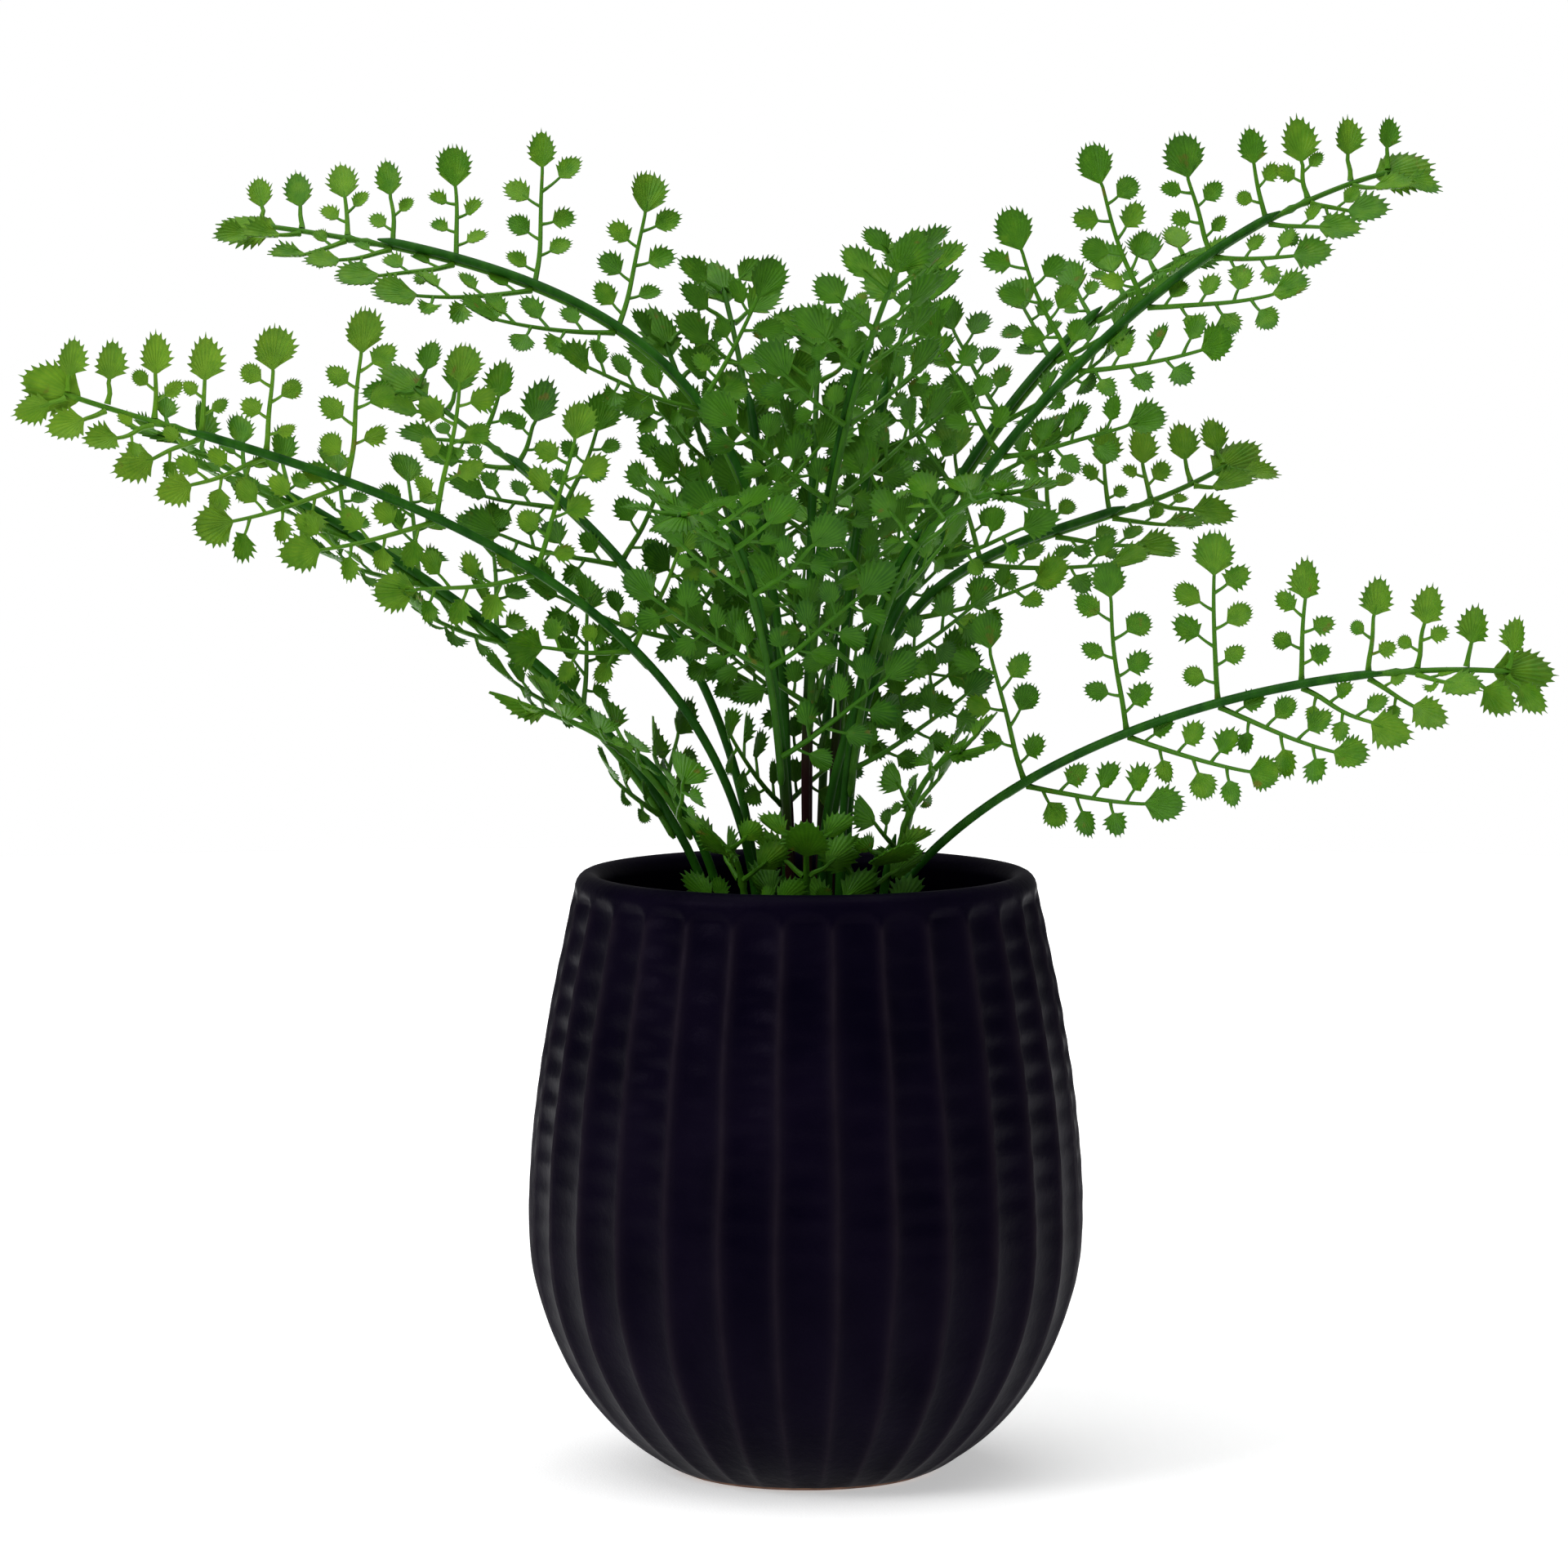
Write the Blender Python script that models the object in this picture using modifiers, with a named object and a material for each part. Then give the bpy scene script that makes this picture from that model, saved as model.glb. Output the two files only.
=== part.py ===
"""Potted fern: a fluted ceramic pot, its soil, and moulded fronds on wire stems. Metres, +Z up.

The origin is the centre of the pot's foot. Each frond is a stem and a leaf spray that rides behind it.
"""

import math
from dataclasses import dataclass

import bmesh
import bpy
from mathutils import Vector
from mathutils.bvhtree import BVHTree

MM = 0.001

# Pot
FOOT_RADIUS = 34 * MM
BELLY_RADIUS = 75 * MM
BELLY_HEIGHT = 68 * MM
LIP_OUTER_RADIUS = 62.3 * MM
LIP_INNER_RADIUS = 54.8 * MM
LIP_BASE_HEIGHT = 158 * MM
LIP_RISE = 4.5 * MM
LIP_STEPS = 4
WALL = 6.5 * MM
FLOOR = 7 * MM
FLUTES = 30
FLUTE_DEPTH = 1.7 * MM
FLUTE_TOP = 154 * MM
POT_STEPS = 2 * FLUTES
SHOULDER_DROP = 26 * MM
SHOULDER_RISE = 32 * MM
OUTER_FLARE = 5.7 * MM
INNER_FLARE = 6 * MM
OUTER_FOOT_HANDLE = 20 * MM
OUTER_FOOT_LIFT = 8 * MM
OUTER_STEPS = 5
INNER_BOWL_LIFT = 4 * MM
INNER_FOOT_HANDLE = 14 * MM
INNER_FOOT_LIFT = 6 * MM
INNER_FOOT_INSET = 4 * MM
INNER_STEPS = 3

# Soil
SOIL_TOP = 136 * MM
SOIL_CROWN = 2 * MM
SOIL_STEPS = 30
SOCKET_DEPTH = 14 * MM
SOCKET_SIDES = 6
ROOT_HEIGHT = SOIL_TOP + SOIL_CROWN + 1 * MM

# Stems and leaf sprays
CLEARANCE = 0.3 * MM
STEM_RADIUS = 1.2 * MM
STEM_SPACING = 16 * MM
INWARD_LEAN = 0.6
AXES_STEP = 2 * MM
SPRAY_LEAD = 8 * MM
LONG_GAP = 20 * MM
WIRE_PAIRS = 4
WIRE_OVERRUN = 4 * MM
LEAF_THICKNESS = 0.8 * MM
RIB_HALF_WIDTH = 0.9 * MM
LEAFLET_LENGTH = 12 * MM
TIP_LEAFLET_LENGTH = 16 * MM
LEAFLET_HALF_WIDTH = 0.42
LEAFLET_WIDEST = 0.45
LOBE_REACH = 5 * MM
LOBE_REACH_STEP = 1.8 * MM
LOBE_SWEEP = 0.8
PINNA_NECK = 4 * MM
PINNA_SPREAD = math.radians(60)
PINNA_SKEW = math.radians(20)
PINNA_BOW = 0.1
PINNA_SAG = 0.12
RACHIS_OFFSET = STEM_RADIUS + CLEARANCE + LEAF_THICKNESS / 2 + 0.1 * MM
CLEAR_MARGIN = 0.35 * MM
FOLD_TRIES = (0, 9, -9, 18, -18, 27, -27, 38, -38, 50, -50)

# The spray's pairs of pinnae, from its tip: distance from the tip, pinna length, leaflets on its sides
PINNA_PAIRS = (
    (12 * MM, 14 * MM, 0),
    (23 * MM, 17 * MM, 0),
    (36 * MM, 22 * MM, 2),
    (49 * MM, 25 * MM, 2),
    (67 * MM, 33 * MM, 4),
    (90 * MM, 45 * MM, 6),
    (116 * MM, 46 * MM, 6),
    (147 * MM, 46 * MM, 6),
    (181 * MM, 38 * MM, 4),
)


@dataclass(frozen=True)
class Frond:
    """One frond's arch, in millimetres and degrees.

    heading turns from +X towards +Y. root and reach are the distances of its foot and its tip from the
    pot's axis, and height is the tip's. rise and lean are the length and tilt of the arch's lower handle,
    run and tip are the length and slope of its upper handle. face rolls the spray about its stem, fold
    lifts its pinnae, and pairs is how many pairs of pinnae it has.
    """

    name: str
    heading: float
    root: float
    reach: float
    height: float
    rise: float
    lean: float
    run: float
    tip: float
    face: float
    fold: float
    pairs: int


FRONDS = (
    Frond("left_low", 197, 13, 211, 298, 125, 0, 40, 30, 85, 8, 9),
    Frond("right_low", 346, 15, 201, 219, 62, 20, 60, -8, -82, 8, 8),
    Frond("right_high", 12, 6, 174, 353, 80, -12, 90, 8, -60, 10, 9),
    Frond("left_high", 168, 6, 163, 338, 140, -2, 150, 6, 45, 10, 9),
    Frond("left_mid", 182, 22, 180, 288, 80, 10, 50, 32, 20, 12, 9),
    Frond("right_mid", 24, 13, 137, 276, 135, -4, 75, 32, -45, 12, 7),
    Frond("left_back", 155, 14, 128, 298, 98, 0, 55, 35, 45, 10, 7),
    Frond("right_back", 36, 8, 142, 331, 90, -6, 60, 12, -10, 12, 7),
    Frond("front_tall", 296, 4, 64, 337, 100, -10, 50, 40, 0, 10, 8),
    Frond("back_left_tall", 130, 8, 64, 314, 80, -8, 40, 60, 0, 10, 8),
    Frond("back_tall", 112, 14, 66, 328, 90, 0, 50, 50, 0, 10, 8),
    Frond("back_mid_tall", 85, 6, 44, 314, 90, 0, 50, 60, 0, 10, 7),
    Frond("back_right_tall", 58, 12, 66, 332, 90, 0, 50, 50, 0, 10, 8),
    Frond("front_left", 246, 10, 92, 262, 95, 0, 45, -20, 0, 10, 7),
    Frond("front_right", 316, 12, 84, 268, 95, 0, 45, -10, 0, 10, 7),
    Frond("left_short", 207, 22, 92, 214, 44, 9, 43, 10, 15, 8, 5),
    Frond("right_short", 325, 22, 60, 203, 40, 9, 28, 10, -15, 8, 4),
    Frond("back_low", 80, 20, 124, 258, 90, 4, 60, 4, 0, 10, 7),
    Frond("rim_left", 232, 22, 42, 178, 26, 5, 14, 10, 0, 6, 3),
    Frond("rim_front", 270, 22, 42, 180, 26, 5, 14, 10, 0, 6, 3),
    Frond("rim_right", 308, 22, 42, 176, 26, 5, 14, 10, 0, 6, 3),
)


def clear_scene():
    for obj in list(bpy.data.objects):
        bpy.data.objects.remove(obj, do_unlink=True)


def new_collection(name, hidden=False):
    collection = bpy.data.collections.new(name)
    bpy.context.scene.collection.children.link(collection)
    collection.hide_render = hidden
    return collection


def new_material(name, colour, roughness, metallic=0.0):
    material = bpy.data.materials.new(name)
    material.use_nodes = True
    shader = material.node_tree.nodes["Principled BSDF"]
    shader.inputs["Base Color"].default_value = (*colour, 1)
    shader.inputs["Roughness"].default_value = roughness
    shader.inputs["Metallic"].default_value = metallic
    return material


def add_object(name, data, collection, material=None):
    obj = bpy.data.objects.new(name, data)
    collection.objects.link(obj)
    if material:
        data.materials.append(material)
    return obj


def bezier(points, steps):
    """Steps + 1 points along the cubic with these four control points."""
    out = []
    for i in range(steps + 1):
        t = i / steps
        u = 1 - t
        weights = (u**3, 3 * u * u * t, 3 * u * t * t, t**3)
        out.append(sum((Vector(p) * w for p, w in zip(points, weights)), Vector((0, 0))))
    return out


def outer_profile():
    """(radius, height) points of the pot's outer side, from the lip's outer edge down to the foot."""
    shoulder = bezier(
        (
            (LIP_OUTER_RADIUS, LIP_BASE_HEIGHT),
            (LIP_OUTER_RADIUS + OUTER_FLARE, LIP_BASE_HEIGHT - SHOULDER_DROP),
            (BELLY_RADIUS, BELLY_HEIGHT + SHOULDER_RISE),
            (BELLY_RADIUS, BELLY_HEIGHT),
        ),
        OUTER_STEPS,
    )
    bowl = bezier(
        (
            (BELLY_RADIUS, BELLY_HEIGHT),
            (BELLY_RADIUS, BELLY_HEIGHT / 2),
            (FOOT_RADIUS + OUTER_FOOT_HANDLE, OUTER_FOOT_LIFT),
            (FOOT_RADIUS, 0),
        ),
        OUTER_STEPS,
    )
    return shoulder + bowl[1:]


def inner_profile():
    """(radius, height) points of the pot's inner side, from the lip's inner edge down to the floor."""
    belly = BELLY_RADIUS - WALL
    shoulder = bezier(
        (
            (LIP_INNER_RADIUS, LIP_BASE_HEIGHT),
            (LIP_INNER_RADIUS + INNER_FLARE, LIP_BASE_HEIGHT - SHOULDER_DROP),
            (belly, BELLY_HEIGHT + SHOULDER_RISE),
            (belly, BELLY_HEIGHT),
        ),
        INNER_STEPS,
    )
    bowl = bezier(
        (
            (belly, BELLY_HEIGHT),
            (belly, BELLY_HEIGHT / 2 + INNER_BOWL_LIFT),
            (FOOT_RADIUS + INNER_FOOT_HANDLE, FLOOR + INNER_FOOT_LIFT),
            (FOOT_RADIUS - INNER_FOOT_INSET, FLOOR),
        ),
        INNER_STEPS,
    )
    return shoulder + bowl[1:]


def lip_profile():
    """(radius, height) points over the lip, from its inner edge to its outer edge, both left out."""
    middle = (LIP_INNER_RADIUS + LIP_OUTER_RADIUS) / 2
    half_width = (LIP_OUTER_RADIUS - LIP_INNER_RADIUS) / 2
    out = []
    for i in range(1, LIP_STEPS):
        angle = math.pi * (1 - i / LIP_STEPS)
        radius = middle + half_width * math.cos(angle)
        out.append(Vector((radius, LIP_BASE_HEIGHT + LIP_RISE * math.sin(angle))))
    return out


def turned(name, profile, steps, collection):
    """A closed solid turned from (radius, height) points that run from the axis, outside, to the axis."""
    mesh = bpy.data.meshes.new(name)
    points = [(r, 0, z) for r, z in profile]
    mesh.from_pydata(points, [(i, i + 1) for i in range(len(points) - 1)], [])
    obj = add_object(name, mesh, collection)
    screw = obj.modifiers.new("turn", "SCREW")
    screw.axis = "Z"
    screw.steps = steps
    screw.render_steps = steps
    screw.use_merge_vertices = True
    screw.merge_threshold = 0.01 * MM
    return obj


def applied(obj):
    """The object with its modifiers made part of its mesh."""
    graph = bpy.context.evaluated_depsgraph_get()
    graph.update()
    mesh = bpy.data.meshes.new_from_object(obj.evaluated_get(graph))
    old = obj.data
    obj.modifiers.clear()
    obj.data = mesh
    mesh.name = obj.name
    if isinstance(old, bpy.types.Curve):
        bpy.data.curves.remove(old)
    else:
        bpy.data.meshes.remove(old)
    return obj


def build_pot(collection, material):
    outside = [Vector((0, 0))] + outer_profile()[::-1]
    profile = outside + lip_profile()[::-1] + inner_profile() + [Vector((0, FLOOR))]
    pot = applied(turned("pot", profile[::-1], POT_STEPS, collection))
    for vertex in pot.data.vertices:
        x, y, z = vertex.co
        radius = math.hypot(x, y)
        inner = radius_at(inner_profile(), z) if FLOOR < z < LIP_BASE_HEIGHT else 0
        on_outside = 0 < z < FLUTE_TOP and radius > inner + WALL / 3 and radius > FOOT_RADIUS
        column = round(math.atan2(y, x) / (2 * math.pi) * POT_STEPS)
        if on_outside and column % 2:
            depth = FLUTE_DEPTH * radius / BELLY_RADIUS
            vertex.co.x -= depth * x / radius
            vertex.co.y -= depth * y / radius
    pot.data.materials.append(material)
    smooth(pot)
    return pot


def smooth(obj, sharp_degrees=50):
    obj.data.shade_smooth()
    obj.data.set_sharp_from_angle(angle=math.radians(sharp_degrees))


def radius_at(profile, height):
    """The radius of a falling profile at a height, read along its straight runs."""
    for (r0, z0), (r1, z1) in zip(profile, profile[1:]):
        if z1 <= height <= z0:
            return r1 + (r0 - r1) * (height - z1) / (z0 - z1)
    return profile[-1][0]


def build_soil(collection, cutters, material):
    """The fill, domed a little, with a socket for each stem."""
    inside = inner_profile()
    profile = [Vector((0, SOIL_TOP + SOIL_CROWN))]
    profile.append(Vector((radius_at(inside, SOIL_TOP) - 2 * CLEARANCE, SOIL_TOP)))
    for r, z in inside:
        if z < SOIL_TOP:
            profile.append(Vector((r - 2 * CLEARANCE, z + CLEARANCE)))
    profile.append(Vector((0, FLOOR + CLEARANCE)))
    soil = applied(turned("soil", profile, SOIL_STEPS, collection))
    sockets = bmesh.new()
    for frond in FRONDS:
        made = bmesh.ops.create_cone(
            sockets,
            cap_ends=True,
            segments=SOCKET_SIDES,
            radius1=STEM_RADIUS + 2 * CLEARANCE,
            radius2=STEM_RADIUS + 2 * CLEARANCE,
            depth=2 * SOCKET_DEPTH,
        )
        bmesh.ops.translate(sockets, verts=made["verts"], vec=root_point(frond))
    mesh = bpy.data.meshes.new("sockets")
    sockets.to_mesh(mesh)
    sockets.free()
    cutter = add_object("sockets", mesh, cutters)
    cutter.hide_render = True
    cutter.display_type = "WIRE"
    cut = soil.modifiers.new("sockets", "BOOLEAN")
    cut.operation = "DIFFERENCE"
    cut.solver = "EXACT"
    cut.object = cutter
    soil.data.materials.append(material)
    return soil


def root_point(frond):
    """The top of the straight length of a stem, just clear of the soil."""
    angle = math.radians(frond.heading)
    radius = frond.root * MM
    return Vector((radius * math.cos(angle), radius * math.sin(angle), ROOT_HEIGHT))


class Arch:
    """A frond's centre line, read by distance along it from the soil."""

    SAMPLES = 160

    def __init__(self, frond):
        self.frond = frond
        lean = math.radians(frond.lean)
        tip = math.radians(frond.tip)
        root = Vector((frond.root * MM, ROOT_HEIGHT))
        end = Vector((frond.reach * MM, frond.height * MM))
        handles = (
            root,
            root + frond.rise * MM * Vector((math.sin(lean), math.cos(lean))),
            end - frond.run * MM * Vector((math.cos(tip), math.sin(tip))),
            end,
        )
        angle = math.radians(frond.heading)
        away = Vector((math.cos(angle), math.sin(angle), 0))
        self.upward = Vector((0, 0, 1)) - away * INWARD_LEAN
        self.points = [away * r + Vector((0, 0, z)) for r, z in bezier(handles, self.SAMPLES)]
        self.distances = [0.0]
        for a, b in zip(self.points, self.points[1:]):
            self.distances.append(self.distances[-1] + (b - a).length)
        self.length = self.distances[-1]

    def point(self, distance):
        distance = min(max(distance, 0), self.length)
        for i in range(1, len(self.points)):
            if distance <= self.distances[i]:
                span = self.distances[i] - self.distances[i - 1]
                share = (distance - self.distances[i - 1]) / span
                return self.points[i - 1].lerp(self.points[i], share)
        return self.points[-1]

    def axes(self, distance):
        """(along, across, facing): the stem's direction, the spray's width and the way that it faces."""
        along = (self.point(distance + AXES_STEP) - self.point(distance - AXES_STEP)).normalized()
        facing = (self.upward - along * self.upward.dot(along)).normalized()
        across = facing.cross(along)
        roll = math.radians(self.frond.face)
        turned_facing = facing * math.cos(roll) + across * math.sin(roll)
        return along, turned_facing.cross(along), turned_facing


def pair_stations(frond):
    """(distance along the arch, pinna length, side leaflets) of each pair, from the base up."""
    arch = Arch(frond)
    pairs = PINNA_PAIRS[: frond.pairs]
    return [(arch.length - gap, length, count) for gap, length, count in pairs[::-1]]


def rachis_stations(frond):
    """Distances along the arch at which the rachis has a pair, or a bend between two pairs."""
    pairs = [station for station, _, _ in pair_stations(frond)]
    stations = [pairs[0] - SPRAY_LEAD]
    for a, b in zip(pairs, pairs[1:]):
        stations.append(a)
        if b - a > LONG_GAP:
            stations.append((a + b) / 2)
    return stations + pairs[-1:]


def wire_end(frond):
    """Where the wire stops, short of the spray's tip."""
    pairs = [station for station, _, _ in pair_stations(frond)]
    return pairs[-min(WIRE_PAIRS, len(pairs))] + WIRE_OVERRUN


def stem_points(frond):
    arch = Arch(frond)
    root = root_point(frond)
    spray = rachis_stations(frond)
    stop = wire_end(frond)
    below = max(2, round(spray[0] / STEM_SPACING))
    distances = [spray[0] * i / below for i in range(1, below)]
    distances += [station for station in spray if station < stop - WIRE_OVERRUN / 2]
    distances.append(stop)
    points = [root - Vector((0, 0, SOCKET_DEPTH - CLEARANCE)), root]
    return points + [arch.point(distance) for distance in distances]


def build_stem(frond, collection, material):
    """A coated wire from its socket in the soil to its bare end."""
    curve = bpy.data.curves.new("stem_" + frond.name, "CURVE")
    curve.dimensions = "3D"
    curve.bevel_depth = STEM_RADIUS
    curve.bevel_resolution = 1
    curve.use_fill_caps = True
    points = stem_points(frond)
    spline = curve.splines.new("POLY")
    spline.points.add(len(points) - 1)
    for spot, point in zip(spline.points, points):
        spot.co = (*point, 1)
    return add_object("stem_" + frond.name, curve, collection, material)


def pinna_frame(axes, side, fold):
    """(outward, tipward, normal) of a pinna on side +1 or -1, lifted by fold towards the facing side.

    Pinnae on the upper edge of a spray stand out from it, and those on the lower edge trail along it.
    """
    along, across, facing = axes
    spread = PINNA_SPREAD + PINNA_SKEW * side * across.z
    level = across * side * math.cos(fold) + facing * math.sin(fold)
    outward = along * math.cos(spread) + level * math.sin(spread)
    tipward = (along - outward * along.dot(outward)).normalized()
    normal = (outward.cross(tipward) * side).normalized()
    return outward, tipward, normal


def pinna_sheet(root, frame, length, count):
    """(points, faces) of a pinna. Its first two points stand for the root edge on the rachis."""
    outward, tipward, normal = frame

    def place(u, v):
        share = u / length
        bow = PINNA_BOW * length * share * share
        sag = PINNA_SAG * length * share * share
        return root + outward * u + tipward * (v + bow) - normal * sag

    half = RIB_HALF_WIDTH
    points = [place(0, half), place(0, -half)]
    faces = []
    last = 0
    if count:
        lobes = count // 2
        step = (length - LEAFLET_LENGTH - PINNA_NECK) / lobes
        reach = LOBE_REACH + LOBE_REACH_STEP * lobes
        points += [place(PINNA_NECK, half), place(PINNA_NECK, -half)]
        faces.append((0, 1, 3, 2))
        last = 2
        for i in range(lobes):
            u = PINNA_NECK + step * i
            base = len(points)
            points += [place(u + step, half), place(u + step, -half)]
            points += [place(u + LOBE_SWEEP * step, reach), place(u + LOBE_SWEEP * step, -reach)]
            faces.append((last, last + 1, base + 1, base))
            faces.append((last, base, base + 2))
            faces.append((last + 1, base + 3, base + 1))
            last = base
    width = LEAFLET_HALF_WIDTH * LEAFLET_LENGTH
    widest = length - LEAFLET_WIDEST * LEAFLET_LENGTH
    base = len(points)
    points += [place(widest, -width), place(length, 0), place(widest, width)]
    faces.append((last, last + 1, base, base + 1, base + 2))
    return points, faces


def prism_tree(points, faces, normals):
    """A search tree of the sheet thickened on both sides, for finding what it would touch."""
    half = LEAF_THICKNESS / 2 + CLEAR_MARGIN
    above = [p + normal * half for p, normal in zip(points, normals)]
    below = [p - normal * half for p, normal in zip(points, normals)]
    count = len(points)
    walls = []
    for face in faces:
        walls.append(face)
        walls.append(tuple(i + count for i in face))
        for a, b in zip(face, face[1:] + face[:1]):
            walls.append((a, b, b + count, a + count))
    return BVHTree.FromPolygons(above + below, walls)


def object_tree(obj):
    """A search tree of an object's evaluated mesh, swollen along its normals."""
    graph = bpy.context.evaluated_depsgraph_get()
    mesh = bpy.data.meshes.new_from_object(obj.evaluated_get(graph))
    points = [v.co + v.normal * CLEAR_MARGIN for v in mesh.vertices]
    faces = [tuple(p.vertices) for p in mesh.polygons]
    bpy.data.meshes.remove(mesh)
    return BVHTree.FromPolygons(points, faces)


class Thicket:
    """What stands in a new pinna's way: the pot, soil, stems and rachises, and the pinnae placed so far."""

    def __init__(self, fixed):
        self.fixed = fixed
        self.placed = []

    def touches(self, tree, centre, radius, own):
        for name, other in self.fixed.items():
            if name not in own and tree.overlap(other):
                return True
        for other, spot, size in self.placed:
            if (spot - centre).length < radius + size and tree.overlap(other):
                return True
        return False

    def settle(self, frond, root, axes, side, length, count):
        """A pinna's sheet at the first fold that touches nothing, or None."""
        own = ("stem_" + frond.name, "leaves_" + frond.name)
        for extra in FOLD_TRIES:
            frame = pinna_frame(axes, side, math.radians(frond.fold + extra))
            points, faces = pinna_sheet(root, frame, length, count)
            tested = [p + frame[0] * CLEAR_MARGIN for p in points]
            tree = prism_tree(tested, faces, [frame[2]] * len(points))
            centre = sum(points, Vector()) / len(points)
            radius = max((p - centre).length for p in points) + MM
            if not self.touches(tree, centre, radius, own):
                self.placed.append((tree, centre, radius))
                return points, faces
        return None


class Rachis:
    """The rib that carries a spray's pinnae: a strip behind the stem that ends in the tip leaflet.

    rows holds one (axes, centre, pair) for each cross edge. pair is the (length, leaflets) of the two
    pinnae that grow between that edge and the one before it, or None.
    """

    def __init__(self, frond):
        arch = Arch(frond)
        pairs = {station: (length, count) for station, length, count in pair_stations(frond)}
        half = RIB_HALF_WIDTH
        self.rows = []
        self.points = []
        self.normals = []
        for station in rachis_stations(frond):
            axes = arch.axes(station)
            along, across, facing = axes
            middle = arch.point(station) - facing * RACHIS_OFFSET
            for shift in (-half, half) if station in pairs else (0,):
                self.rows.append((axes, middle, pairs.get(station) if shift > 0 else None))
                for side in (1, -1):
                    self.points.append(middle + along * shift + across * half * side)
                    self.normals.append(facing)
        self.faces = [
            (2 * i, 2 * i + 1, 2 * i + 3, 2 * i + 2) for i in range(len(self.rows) - 1)
        ]
        self.add_tip_leaflet(arch)

    def add_tip_leaflet(self, arch):
        along, across, facing = arch.axes(arch.length)
        tip = arch.point(arch.length) - facing * RACHIS_OFFSET
        back = tip - along * LEAFLET_WIDEST * TIP_LEAFLET_LENGTH
        width = LEAFLET_HALF_WIDTH * TIP_LEAFLET_LENGTH
        last = len(self.points)
        self.points += [back - across * width, tip, back + across * width]
        self.normals += [facing] * 3
        self.faces.append((last - 2, last - 1, last, last + 1, last + 2))

    def tree(self):
        return prism_tree(self.points, self.faces, self.normals)


def build_spray(frond, rachis, thicket, collection, material):
    """The moulded leaves of one frond, as an open sheet that Solidify makes a shell."""
    sheet = bmesh.new()
    ribs = [sheet.verts.new(p) for p in rachis.points]
    for face in rachis.faces:
        sheet.faces.new([ribs[i] for i in face])
    for row, (axes, middle, pair) in enumerate(rachis.rows):
        if not pair:
            continue
        for index, side in enumerate((1, -1)):
            root = middle + axes[1] * RIB_HALF_WIDTH * side
            settled = thicket.settle(frond, root, axes, side, *pair)
            if not settled:
                continue
            points, faces = settled
            verts = [ribs[2 * row + index], ribs[2 * row - 2 + index]]
            verts += [sheet.verts.new(p) for p in points[2:]]
            for face in faces:
                sheet.faces.new([verts[i] for i in face])
    bmesh.ops.recalc_face_normals(sheet, faces=sheet.faces)
    mesh = bpy.data.meshes.new("leaves_" + frond.name)
    sheet.to_mesh(mesh)
    sheet.free()
    spray = add_object("leaves_" + frond.name, mesh, collection, material)
    shell = spray.modifiers.new("thickness", "SOLIDIFY")
    shell.thickness = LEAF_THICKNESS
    shell.offset = 0
    return spray


def main():
    clear_scene()
    parts = new_collection("potted_fern")
    cutters = new_collection("cutters", hidden=True)
    ceramic = new_material("dark_matt_ceramic", (0.012, 0.009, 0.018), 0.5)
    earth = new_material("dark_soil", (0.02, 0.014, 0.01), 0.95)
    coated_wire = new_material("green_coated_wire", (0.012, 0.09, 0.02), 0.45)
    leaf = new_material("moulded_leaf", (0.08, 0.24, 0.03), 0.5)
    pot = build_pot(parts, ceramic)
    soil = build_soil(parts, cutters, earth)
    fixed = {"pot": object_tree(pot), "soil": object_tree(soil)}
    rachises = {}
    for frond in FRONDS:
        stem = build_stem(frond, parts, coated_wire)
        rachises[frond.name] = Rachis(frond)
        fixed[stem.name] = object_tree(stem)
        fixed["leaves_" + frond.name] = rachises[frond.name].tree()
    thicket = Thicket(fixed)
    for frond in FRONDS:
        build_spray(frond, rachises[frond.name], thicket, parts, leaf)


main()
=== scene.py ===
"""Looks of the potted fern: fluted ceramic pot, potting soil, coated wire stems and moulded leaf sprays.

Everything is in metres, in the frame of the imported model. Each piece replaces the plain solid it stands for.
"""

import logging
import math
import random
from dataclasses import dataclass
from enum import Enum
from typing import Iterable, Protocol, Sequence

import bmesh
import bpy
import numpy as np
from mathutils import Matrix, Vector, noise
from mathutils.kdtree import KDTree


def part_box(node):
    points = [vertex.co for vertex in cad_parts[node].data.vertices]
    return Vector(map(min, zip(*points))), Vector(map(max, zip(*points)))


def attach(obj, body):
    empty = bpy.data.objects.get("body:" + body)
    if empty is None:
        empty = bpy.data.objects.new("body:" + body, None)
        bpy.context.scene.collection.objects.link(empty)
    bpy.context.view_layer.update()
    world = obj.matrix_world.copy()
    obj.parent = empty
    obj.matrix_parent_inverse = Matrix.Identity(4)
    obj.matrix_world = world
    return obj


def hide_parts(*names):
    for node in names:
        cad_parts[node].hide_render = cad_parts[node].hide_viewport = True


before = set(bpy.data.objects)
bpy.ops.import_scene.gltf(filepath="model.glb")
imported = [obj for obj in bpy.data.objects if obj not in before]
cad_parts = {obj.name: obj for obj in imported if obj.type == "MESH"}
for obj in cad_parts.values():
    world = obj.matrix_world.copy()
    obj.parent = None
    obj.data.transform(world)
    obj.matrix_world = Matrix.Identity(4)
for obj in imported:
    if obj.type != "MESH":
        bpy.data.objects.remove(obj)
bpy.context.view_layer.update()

LOG = logging.getLogger("potted_fern")
MM = 0.001
BODY = "root"
UP = Vector((0, 0, 1))

Colour = tuple[float, float, float]
Axes = tuple[Vector, Vector, Vector]
Socket = bpy.types.NodeSocket


class Slot(Enum):
    """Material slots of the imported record."""

    POT = "pot_glaze"
    SOIL = "soil"
    WIRE = "stem_coating"
    LEAF = "leaf"


class Paint(Enum):
    """Values painted on the points of a mesh for its material to read."""

    # Where the painted highlight along the pot's crests shows.
    CREST_HIGHLIGHT = "crest"
    # The leaf tone: partly the leaves' own green, partly painted shade.
    TONE_AND_SHADE = "tone_and_shade"
    RIM = "rim"
    VEIN = "vein"
    AGE = "age"


# ---------------------------------------------------------------- finishes


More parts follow.
